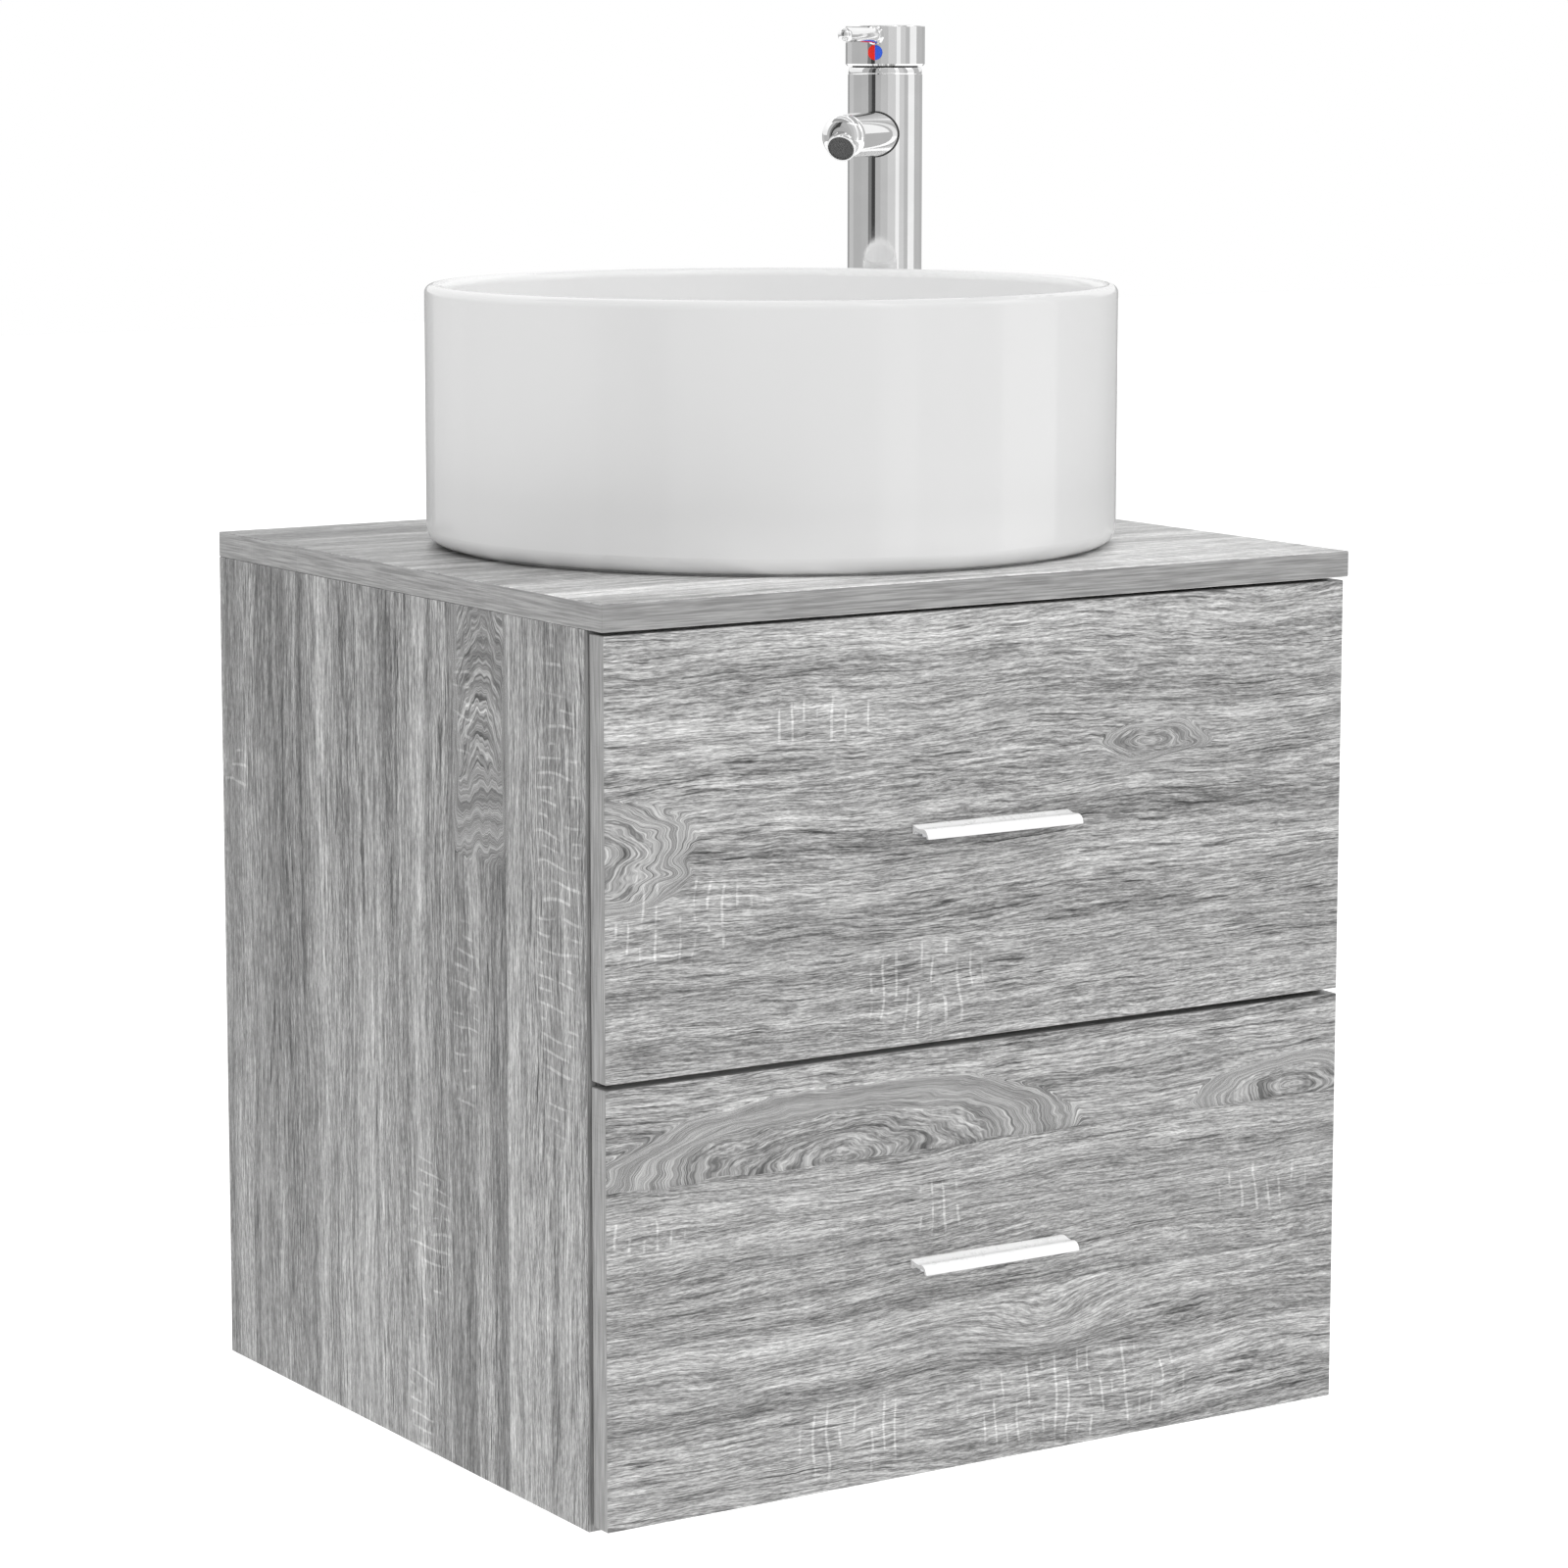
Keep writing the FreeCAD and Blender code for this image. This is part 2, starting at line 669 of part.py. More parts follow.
def drawer_side(level_name, level, name, side):
    """A folded steel drawer side with its track flange, front tab and rear roller axle."""
    body = new_body(f"{level_name}_drawer_side_{name}", (0, 0, level))
    outer = d.side_wall_x
    inner = outer - d.side_sheet
    flange_top = d.track_flange_level + d.side_sheet
    top_lip_low = d.side_wall_height - d.side_sheet
    profile = [
        (outer - d.bottom_flange, 0), (outer, 0), (outer, d.track_flange_level),
        (outer + d.track_flange, d.track_flange_level), (outer + d.track_flange, flange_top),
        (outer, flange_top), (outer, d.side_wall_height), (outer - d.top_flange, d.side_wall_height),
        (outer - d.top_flange, top_lip_low), (inner, top_lip_low),
        (inner, d.side_sheet), (outer - d.bottom_flange, d.side_sheet),
    ]
    sketch = draw(body, "Y", front_back)
    polygon(sketch, [(side * x, z) for x, z in profile])
    extrude(body, sketch, "Y", d.side_length)
    tab = draw(body, "Y", front_back)
    rectangle(tab, (side * (outer - d.side_sheet / 2), d.tab_low),
              (side * (inner - d.tab_width), d.tab_high))
    extrude(body, tab, "Y", d.side_sheet)
    stub_axle(body, side, rear_axle_y, d.rear_axle_height, inner, roller_outer_x + roller_gap + axle_head)
    drill(body, "Y", [(side * tab_x, z) for z in tab_screws_z], screw_hole, front_back, d.side_sheet)
    drill(body, "X", [(back_middle_y, z) for z in back_screws_z], screw_hole,
          side * outer, d.side_sheet, towards=-side)
    drill(body, "Z", [(side * bottom_screw_x, y) for y in bottom_screws_y], screw_hole, 0, d.side_sheet)


def drawer_box(level_name, level):
    """The drawer's bottom and back boards between the steel sides."""
    reach = d.side_wall_x - d.side_sheet - d.box_play
    bottom = board(f"{level_name}_drawer_bottom", (-reach, front_back, d.side_sheet),
                   (reach, drawer_rear, drawer_floor), (0, 0, level))
    drill(bottom, "Z", [(side * bottom_screw_x, y) for side in SIDES.values() for y in bottom_screws_y],
          screw_hole, d.side_sheet, d.screw_length)
    back = board(f"{level_name}_drawer_back", (-reach, drawer_rear - d.board, drawer_floor),
                 (reach, drawer_rear, drawer_floor + d.drawer_back_height), (0, 0, level))
    for side in SIDES.values():
        drill(back, "X", [(back_middle_y, z) for z in back_screws_z], screw_hole,
              side * reach, d.screw_length, towards=-side)
    return back


def trap_liner(level):
    """The moulded U-shaped wall that keeps the drawer's contents off the trap."""
    body = new_body("upper_trap_liner", (0, 0, level))
    inner = d.notch_half_width
    outer = inner + d.liner_wall
    rear = drawer_rear - d.board
    for half, make, extra in ((outer, extrude, 0), (inner, carve, 1)):
        block = draw(body, "Z", drawer_floor)
        rectangle(block, (-half, d.basin_y), (half, rear + extra))
        make(body, block, "Z", d.drawer_back_height)
        nose = draw(body, "Z", drawer_floor)
        circle(nose, (0, d.basin_y), half)
        make(body, nose, "Z", d.drawer_back_height)


def handle(level_name, handle_z):
    """A drawn aluminium pull: a foot on the front, a shallow shelf and a lip to hook with fingers."""
    body = new_body(f"{level_name}_handle", (0, front_face, handle_z))
    depth = d.handle_depth
    lip_top = (2.4 - depth, -1.0)
    lip_front = (-depth, -6.3)
    lip_rear = (1.7 - depth, -6.3)
    lip_root = (3.4 - depth, -2.8)
    foot_root = (-2.2, -2.5)
    foot_edge = (-2.2, -5.0)
    foot_back = (0, -5.0)
    sketch = draw(body, "X", -d.handle_length / 2)
    polygon(sketch, [
        (0, 0), lip_top, lip_front, lip_rear, lip_root, foot_root, foot_edge, foot_back])
    extrude(body, sketch, "X", d.handle_length)
    soften(body, 3.0, line_along_x_at(lip_top))
    soften(body, 1.5, line_along_x_at(lip_root, foot_root))
    soften(body, 0.7, line_along_x_at(lip_front, lip_rear, foot_edge))
    for side in SIDES.values():
        boss = draw(body, "Y", 0)
        circle(boss, (side * d.handle_bolt_x, -d.handle_bolt_drop), d.handle_boss_radius)
        extrude(body, boss, "Y", d.handle_boss_depth, towards=-1)
    drill(body, "Y", [(side * d.handle_bolt_x, -d.handle_bolt_drop) for side in SIDES.values()],
          screw_hole, 0, d.handle_bolt_bite + 0.3, towards=-1)


def drawer_screws(level_name, level, handle_z):
    """Every screw of one drawer: tabs, back, bottom and handle."""
    short = []
    bolts = []
    for side in SIDES.values():
        inwards = (-side, 0, 0)
        short += [
            pointing(side * tab_x, front_back + d.side_sheet, level + z, (0, -1, 0)) for z in tab_screws_z]
        short += [
            pointing(side * d.side_wall_x, back_middle_y, level + z, inwards) for z in back_screws_z]
        short += [pointing(side * bottom_screw_x, y, level, (0, 0, 1)) for y in bottom_screws_y]
        bolt_z = handle_z - d.handle_bolt_drop
        bolts.append(pointing(side * d.handle_bolt_x, front_back, bolt_z, (0, -1, 0)))
    copies(f"{level_name}_drawer_screws", [(screw, short), (handle_bolt, bolts)])


for level_name, level in channel_levels.items():
    low, high = front_edges[level_name]
    handle_z = (low + high) / 2 + d.handle_rise
    drawer_front(level_name, level, handle_z - level)
    for name, side in SIDES.items():
        drawer_side(level_name, level, name, side)
    back = drawer_box(level_name, level)
    if level_name == "upper":
        # The back is notched from above so that the drawer can pass the trap.
        notch = draw(back, "Y", drawer_rear)
        rectangle(notch, (-d.notch_half_width, d.notch_level),
                  (d.notch_half_width, drawer_floor + d.drawer_back_height))
        carve(back, notch, "Y", d.board, towards=-1)
        trap_liner(level)
    handle(level_name, handle_z)
    drawer_screws(level_name, level, handle_z)

# ------------------------------------------------------------------ basin

inner_wall = d.basin_radius - d.basin_wall
floor_edge = d.basin_floor + 7
recess_floor = d.basin_floor - d.waste_recess
basin = new_body("basin", (0, d.basin_y, basin_bottom))
turn(basin, [
    (d.waste_hole, 5), (d.basin_foot_inner, 5), (d.basin_foot_inner + 3, 0), (d.basin_radius, 0),
    (d.basin_radius, d.basin_height), (inner_wall, d.basin_height), (inner_wall, floor_edge),
    (d.waste_flange_radius + 2, d.basin_floor), (d.waste_flange_radius + 2, recess_floor),
    (d.waste_hole, recess_floor)])
soften(basin, d.basin_foot_round, ring_at(d.basin_radius, 0))
soften(basin, d.basin_corner, ring_at(inner_wall, floor_edge))
soften(basin, d.basin_wall * 0.49, ring_at(d.basin_radius, d.basin_height))
soften(basin, d.basin_wall * 0.49, ring_at(inner_wall, d.basin_height))
ring("basin_seal", 165, 190, -d.seal_thickness, 0, (0, d.basin_y, basin_bottom))

# ------------------------------------------------------------------ waste and trap

gasket_level = basin_bottom + recess_floor
flange_level = gasket_level + d.gasket
waste_axis = (0, d.basin_y, 0)
seat_low = flange_level - 18
seat_high = flange_level - 14

waste_body = new_body("waste_body", waste_axis)
turn(waste_body, [
    (d.waste_bore, d.waste_end_level), (d.waste_thread, d.waste_end_level), (d.waste_thread, flange_level),
    (d.waste_flange_radius - 0.5, flange_level), (d.waste_flange_radius, flange_level + 1),
    (d.waste_flange_radius - 2, flange_level + d.waste_flange), (d.waste_bore + 1.5, flange_level + 2),
    (d.waste_bore, flange_level)])
crossbar = draw(waste_body, "Z", seat_low)
rectangle(crossbar, (-d.waste_bore - 1, -3), (d.waste_bore + 1, 3))
extrude(waste_body, crossbar, "Z", seat_high - seat_low)
hub = draw(waste_body, "Z", seat_low)
circle(hub, (0, 0), 6)
extrude(waste_body, hub, "Z", seat_high - seat_low)
drill(waste_body, "Z", [(0, 0)], d.plug_spindle + 0.06, seat_high, seat_high - seat_low, towards=-1)

gasket_pattern = ring("gasket_pattern", d.waste_thread + 0.1, 30, 0, d.gasket)
master_copy(gasket_pattern)
copies("waste_gaskets", [(gasket_pattern, [
    pointing(0, d.basin_y, gasket_level, (0, 0, 1)),
    pointing(0, d.basin_y, underside - d.gasket, (0, 0, 1))])])

nut_top = underside - d.gasket
waste_nut = new_body("waste_nut", waste_axis)
nut_outline = draw(waste_nut, "Z", nut_top - d.waste_nut_height)
hexagon(nut_outline, d.waste_nut_flats)
extrude(waste_nut, nut_outline, "Z", d.waste_nut_height)
drill(waste_nut, "Z", [(0, 0)], d.waste_thread + 0.05, nut_top, d.waste_nut_height, towards=-1)

plug_level = flange_level + d.waste_flange + d.plug_seat_gap
waste_plug = new_body("waste_plug", waste_axis)
turn(waste_plug, [
    (0, plug_level - 28), (d.plug_spindle, plug_level - 28), (d.plug_spindle, plug_level - 6),
    (9, plug_level), (d.plug_radius - 1, plug_level), (d.plug_radius, plug_level + 1.5),
    (d.plug_radius - 2.5, plug_level + 3.6), (18, plug_level + 5), (0, plug_level + 5.6)])

pipe_bore = d.trap_pipe - d.trap_pipe_wall
nut_bore = d.trap_socket + 0.1
lip_bore = d.trap_pipe + 0.3
inlet_tube = new_body("trap_inlet_tube", waste_axis)
inlet_flange_low = d.waste_end_level - 2.7
turn(inlet_tube, [
    (pipe_bore, d.trap_body_end + 8), (d.trap_pipe, d.trap_body_end + 8), (d.trap_pipe, inlet_flange_low),
    (d.trap_socket - 0.5, inlet_flange_low), (d.trap_socket - 0.5, d.waste_end_level - 0.2),
    (pipe_bore, d.waste_end_level - 0.2)])

trap_nut = new_body("trap_nut_pattern")
turn(trap_nut, [
    (lip_bore, 0), (d.trap_nut_radius - 1, 0), (d.trap_nut_radius, 1),
    (d.trap_nut_radius, d.trap_nut_height), (nut_bore, d.trap_nut_height),
    (nut_bore, d.trap_nut_lip), (lip_bore, d.trap_nut_lip)])
master_copy(trap_nut)
spigot_end_y = d.basin_y + 52
copies("trap_nuts", [(trap_nut, [
    pointing(0, d.basin_y, inlet_flange_low - d.trap_nut_lip, (0, 0, 1)),
    pointing(0, d.basin_y, d.trap_top_level + 1 + d.trap_nut_lip, (0, 0, -1)),
    pointing(0, spigot_end_y + 1 + d.trap_nut_lip, d.trap_outlet_level, (0, -1, 0))])])

bottle_bore = d.trap_bottle - 2.5
shoulder = d.trap_top_level - 18
trap_body = new_body("trap_body", waste_axis)
turn(trap_body, [
    (lip_bore, d.trap_top_level), (d.trap_socket, d.trap_top_level), (d.trap_socket, shoulder),
    (d.trap_bottle, shoulder - 7), (d.trap_bottle, d.trap_body_end), (bottle_bore, d.trap_body_end),
    (bottle_bore, shoulder - 9), (lip_bore, shoulder - 2)])
outlet_socket = draw(trap_body, "Y", 18)
circle(outlet_socket, (0, d.trap_outlet_level), d.trap_socket)
extrude(trap_body, outlet_socket, "Y", spigot_end_y - d.basin_y - 18)
drill(trap_body, "Y", [(0, d.trap_outlet_level)], lip_bore, 17, 36)

cup_bore = d.trap_bottle + 0.2
trap_cup = new_body("trap_cup", waste_axis)
turn(trap_cup, [
    (0, d.trap_cup_bottom), (d.trap_cup_radius - 4, d.trap_cup_bottom),
    (d.trap_cup_radius, d.trap_cup_bottom + 4), (d.trap_cup_radius, d.trap_cup_top),
    (cup_bore, d.trap_cup_top), (cup_bore, d.trap_cup_bottom + 6),
    (cup_bore - 3, d.trap_cup_bottom + 2.5), (0, d.trap_cup_bottom + 2.5)])


def level_tube(label, points):
    """A piece turned about the trap's outlet axis: points are (radius, y)."""
    body = new_body(label, (0, 0, d.trap_outlet_level))
    sketch = draw(body, "Z")
    polygon(sketch, points)
    turned = body.newObject("PartDesign::Revolution", f"{label}_turned")
    turned.Profile = sketch
    turned.ReferenceAxis = (sketch, ["V_Axis"])
    turned.Angle = 360


# A rolled bead stops the pipe at the wall socket; the end behind it is sized for the socket.
spigot = d.trap_pipe - 0.1
bead = d.trap_pipe + 1
bead_front_y = -2.5
pipe_front_y = d.basin_y + 30
level_tube("trap_outlet_pipe", [
    (pipe_bore, pipe_front_y), (d.trap_pipe, pipe_front_y), (d.trap_pipe, bead_front_y),
    (bead, bead_front_y), (bead, 0), (spigot, 0), (spigot, d.outlet_reach),
    (pipe_bore, d.outlet_reach)])
level_tube("wall_rosette", [
    (d.trap_pipe + 0.2, -10), (d.trap_pipe + 2, -10), (d.rosette_radius, -2), (d.rosette_radius, 0),
    (d.rosette_radius - 2, 0), (d.trap_pipe + 2, -7), (d.trap_pipe + 0.2, -7)])

# ------------------------------------------------------------------ mixer

tap_turn = FreeCAD.Rotation(FreeCAD.Vector(0, 0, 1), d.spout_heading.value)


def tap_body(label, height=0, ahead=0):
    """A body in the mixer's own frame: +X along the spout, origin at height above the board."""
    across = as_size(ahead) * Size(math.cos(tap_turn.Angle), "cos(dims.spout_heading)")
    along = as_size(ahead) * Size(math.sin(tap_turn.Angle), "sin(dims.spout_heading)")
    body = new_body(label, (d.tap_x + across, d.tap_y + along, d.top_level + height))
    body.Placement = FreeCAD.Placement(body.Placement.Base, tap_turn)
    return body


column = tap_body("mixer_body")
column_low = d.seal_thickness
base_top = column_low + d.tap_base_height
seat_low = d.cartridge_seat - 8
seat_hole = 8
cartridge_bore = d.cartridge_radius + 0.2
column_floor = column_low + d.tap_floor
turn(column, [
    (0, column_low), (d.tap_base_radius, column_low), (d.tap_base_radius, base_top),
    (d.column_radius, base_top + 2.5), (d.column_radius, d.column_top),
    (cartridge_bore, d.column_top), (cartridge_bore, d.cartridge_seat),
    (seat_hole, d.cartridge_seat), (seat_hole, seat_low),
    (d.column_bore, seat_low), (d.column_bore, column_floor), (0, column_floor)])
drill(column, "Z", [(d.inlet_x, side * d.inlet_y) for side in SIDES.values()],
      d.inlet_radius, column_low, d.tap_floor)
drill(column, "Z", [(d.stud_x, 0)], d.stud_radius + 0.05, column_low, d.tap_floor - 3)
drill(column, "X", [(0, d.spout_height)], d.spigot_radius + 0.05, d.column_bore - 2, 8)

base_seal = tap_body("mixer_base_seal")
seal_bore = 19
seal_edge = d.tap_base_radius - 0.6
turn(base_seal, [(seal_bore, 0), (seal_edge, 0), (seal_edge, column_low), (seal_bore, column_low)])

# The dome ring stands on the column's rim and stays inside the sphere that the cap swings on.
dome_ring = tap_body("mixer_dome_ring", d.column_top)
dome_bore = d.cartridge_radius + 0.3
turn(dome_ring, [
    (dome_bore, 0), (20, 0), (20, 0.4), (d.dome_radius, 0.4), (22.6, 4.4), (21.6, 8.0),
    (20.5, 10.3), (dome_bore, 10.3)])
soften(dome_ring, 0.6, ring_at(20.5, 10.3))

housing = tap_body("cartridge_housing", d.pivot_height)
housing_low = d.cartridge_seat - d.pivot_height
carrier_low = housing_low + 5
turn(housing, [
    (0, housing_low), (d.cartridge_radius, housing_low), (d.cartridge_radius, 9), (14, 9),
    (14, carrier_low - 0.3), (0, carrier_low - 0.3)])

carrier = tap_body("cartridge_carrier", d.pivot_height)
turn(carrier, [(0, carrier_low), (13.7, carrier_low), (13.7, 8), (0, 8)])
slot = draw(carrier, "Z", 8)
rectangle(slot, (-8.2, -d.stem_width / 2 - 0.3), (8.2, d.stem_width / 2 + 0.3))
carve(carrier, slot, "Z", 8 - carrier_low + 1, towards=-1)
drill(carrier, "Y", [(0, 0)], d.stem_pin + 0.06, -14, 28)

stem = tap_body("cartridge_stem", d.pivot_height)
stem_square = draw(stem, "Z", -7)
rectangle(stem_square, (-d.stem_width / 2, -d.stem_width / 2), (d.stem_width / 2, d.stem_width / 2))
extrude(stem, stem_square, "Z", 29)
trunnion = draw(stem, "Y", -12)
circle(trunnion, (0, 0), d.stem_pin)
extrude(stem, trunnion, "Y", 24)

cap = tap_body("mixer_cap", d.pivot_height)
boss_low = 14.0
ceiling = d.cap_high - 3
lever_shoulder = d.cap_radius - 0.6
lever_flare = d.lever_radius + 1.4
turn(cap, [
    (0, boss_low), (9, boss_low), (9, ceiling), (d.cap_bore, ceiling), (d.cap_bore, d.cap_low),
    (d.cap_radius - 1.1, d.cap_low), (d.cap_radius, d.cap_low + 1.2), (d.cap_radius, d.cap_high),
    (0, d.cap_high)])
soften(cap, 0.8, ring_at(d.cap_radius, d.cap_high))
socket = draw(cap, "Z", boss_low)
socket_half = d.stem_width / 2 + 0.05
rectangle(socket, (-socket_half, -socket_half), (socket_half, socket_half))
carve(cap, socket, "Z", 8.3)
drill(cap, "X", [(0, d.lever_height)], 3.05, 5, d.cap_radius)
drill(cap, "X", [(0, d.lever_height)], lever_flare + 0.1, lever_shoulder, 2)
drill(cap, "X", [(0, d.mark_height)], d.mark_radius + 0.05, d.cap_radius - 0.8, 2)

lever = tap_body("mixer_lever", d.pivot_height + d.lever_height)
turn(lever, [
    (6, 0), (6, 3), (lever_shoulder, 3), (lever_shoulder, lever_flare), (lever_shoulder + 1.2, lever_flare),
    (lever_shoulder + 2.2, d.lever_radius + 0.5), (lever_shoulder + 5, d.lever_radius),
    (d.lever_reach, d.lever_radius), (d.lever_reach, 0)], axis="H_Axis")


def lever_tip(edge):
    ends = [vertex.Point.x for vertex in edge.Vertexes]
    return isinstance(edge.Curve, Part.Circle) and abs(ends[0] - d.lever_reach.value) < 0.01


soften(lever, d.lever_radius * 0.96, lever_tip)

# The two-colour mark is a disc whose face follows the cap.
mark_disc = doc.addObject("Part::Cylinder", "mark_disc")
mark_disc.setExpression("Radius", d.mark_radius.text)
mark_disc.Height = 4
mark_disc.Placement = FreeCAD.Placement(
    FreeCAD.Vector(d.cap_radius.value - 0.8, 0, d.mark_height.value),
    FreeCAD.Rotation(FreeCAD.Vector(0, 0, 1), FreeCAD.Vector(1, 0, 0)))
mark_face = doc.addObject("Part::Cylinder", "mark_face")
mark_face.setExpression("Radius", (d.cap_radius + 0.15).text)
mark_face.setExpression("Height", d.cap_high.text)
mark = doc.addObject("Part::Common", "hot_cold_mark")
mark.Label = "hot_cold_mark"
mark.Base = mark_disc
mark.Tool = mark_face
mark.Placement = FreeCAD.Placement(
    FreeCAD.Vector(d.tap_x.value, d.tap_y.value, (d.top_level + d.pivot_height).value), tap_turn)
exported.append(mark)

spout = tap_body("mixer_spout", d.spout_height)
turn(spout, [(15, 0), (15, d.spout_radius), (d.spout_end, d.spout_radius), (d.spout_end, 0)], axis="H_Axis")


def spout_nose(edge):
    ends = [vertex.Point.x for vertex in edge.Vertexes]
    return isinstance(edge.Curve, Part.Circle) and abs(ends[0] - d.spout_end.value) < 0.01


soften(spout, d.spout_round, spout_nose)
saddle = draw(spout, "Z", 20)
circle(saddle, (0, 0), d.column_radius + 0.2)
carve(spout, saddle, "Z", 40, towards=-1)
spigot_sketch = draw(spout, "X", d.column_bore - 2)
circle(spigot_sketch, (0, 0), d.spigot_radius)
extrude(spout, spigot_sketch, "X", 12)
drill(spout, "X", [(0, 0)], 6, d.column_bore - 2, 78)

aerator_seat = FreeCAD.Placement(
    FreeCAD.Vector(d.aerator_x.value, 0, -d.aerator_drop.value),
    FreeCAD.Rotation(FreeCAD.Vector(0, 1, 0), 90 + d.aerator_tilt.value))
bore = spout.newObject("Sketcher::SketchObject", "aerator_bore")
spout_planes = {item.Role: item for item in spout.Origin.OriginFeatures}
bore.AttachmentSupport = [(spout_planes["XY_Plane"], "")]
bore.MapMode = "FlatFace"
bore.AttachmentOffset = aerator_seat * FreeCAD.Placement(FreeCAD.Vector(0, 0, 3), FreeCAD.Rotation())
circle(bore, (0, 0), d.aerator_radius + 0.05)
carve(spout, bore, "Z", 17, towards=-1)
spout_frame = FreeCAD.Placement(
    FreeCAD.Vector(d.tap_x.value, d.tap_y.value, (d.top_level + d.spout_height).value), tap_turn)

aerator_housing = ring("aerator_housing", d.aerator_radius - 0.9, d.aerator_radius, -13, 0)
aerator_mesh = ring("aerator_mesh", 0, d.aerator_radius - 0.95, -4, -1)
for piece in (aerator_housing, aerator_mesh):
    piece.Placement = spout_frame * aerator_seat

board_low = -d.board
stud = tap_body("mixer_stud", ahead=d.stud_x)
turn(stud, [(0, d.stud_end), (d.stud_radius - 0.6, d.stud_end), (d.stud_radius, d.stud_end + 0.6),
            (d.stud_radius, column_low + d.tap_floor - 3.3), (0, column_low + d.tap_floor - 3.3)])

horseshoe = tap_body("horseshoe_washer")
plate = draw(horseshoe, "Z", board_low - 2.5)
circle(plate, (0, 0), 24)
extrude(horseshoe, plate, "Z", 2.5)
mouth = draw(horseshoe, "Z", board_low)
rectangle(mouth, (-1, -14), (25, 14))
carve(horseshoe, mouth, "Z", 2.5, towards=-1)
drill(horseshoe, "Z", [(d.stud_x, 0)], d.stud_radius + 0.2, board_low, 2.5, towards=-1)

stud_nut = tap_body("stud_nut", ahead=d.stud_x)
nut_sketch = draw(stud_nut, "Z", board_low - 14.5)
hexagon(nut_sketch, d.stud_radius * 3.25)
extrude(stud_nut, nut_sketch, "Z", 12)
drill(stud_nut, "Z", [(0, 0)], d.stud_radius + 0.05, board_low - 2.5, 12, towards=-1)

# ------------------------------------------------------------------ check and write

doc.recompute()
for item in doc.Objects:
    if "Invalid" in item.State or "Error" in item.State:
        raise RuntimeError(f"{item.Label} did not build: {item.State}")
for item in exported:
    shape = item.Shape
    if shape.isNull() or not shape.isValid() or not shape.Solids:
        raise RuntimeError(f"{item.Label} has no valid solid")

os.makedirs("parts", exist_ok=True)
for item in exported:
    item.Shape.exportStep(f"parts/{item.Label}.step")
print(f"{len(exported)} nodes written")
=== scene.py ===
import math

import bmesh
import bpy
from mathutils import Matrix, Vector


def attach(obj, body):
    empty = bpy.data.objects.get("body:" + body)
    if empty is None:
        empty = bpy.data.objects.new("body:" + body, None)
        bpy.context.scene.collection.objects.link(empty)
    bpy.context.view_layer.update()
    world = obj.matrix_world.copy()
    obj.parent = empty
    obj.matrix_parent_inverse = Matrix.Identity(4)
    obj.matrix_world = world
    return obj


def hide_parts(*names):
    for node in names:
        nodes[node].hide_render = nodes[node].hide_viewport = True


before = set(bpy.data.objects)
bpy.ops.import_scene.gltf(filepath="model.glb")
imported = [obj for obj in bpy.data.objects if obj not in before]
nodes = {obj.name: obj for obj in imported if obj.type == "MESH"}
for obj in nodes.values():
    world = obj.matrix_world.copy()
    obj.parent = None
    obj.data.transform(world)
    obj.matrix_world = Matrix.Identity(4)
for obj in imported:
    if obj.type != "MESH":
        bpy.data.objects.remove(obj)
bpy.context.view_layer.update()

scene = bpy.context.scene
scene.view_settings.view_transform = "Standard"

MM = 0.001
X, Y, Z = 0, 1, 2

# Places and sizes that the design fixed, in metres.
BASIN_AXIS = (0.0, -0.223)
BASIN_RADIUS = 0.202
BASIN_FOOT = 0.075
FRONT_FACE = -0.448
MIXER_AXIS = (0.195, -0.052)
MIXER_HEADING = math.radians(-138.75)
FLOOR_Z = -0.775

# ------------------------------------------------------------------ camera

LOOKS_DOWN = math.radians(8.217)
LOOKS_RIGHT = math.radians(32.554)

lens = bpy.data.cameras.new("camera")
lens.sensor_width = 36.0
lens.lens = 109.75
lens.shift_x = 0.0134
lens.shift_y = -0.03
camera = bpy.data.objects.new("camera", lens)
camera.location = (-1.5093, -2.5784, 0.3624)
camera.rotation_euler = (math.pi / 2 - LOOKS_DOWN, 0.0, -LOOKS_RIGHT)
scene.collection.objects.link(camera)
scene.camera = camera


# ------------------------------------------------------------------ material building blocks

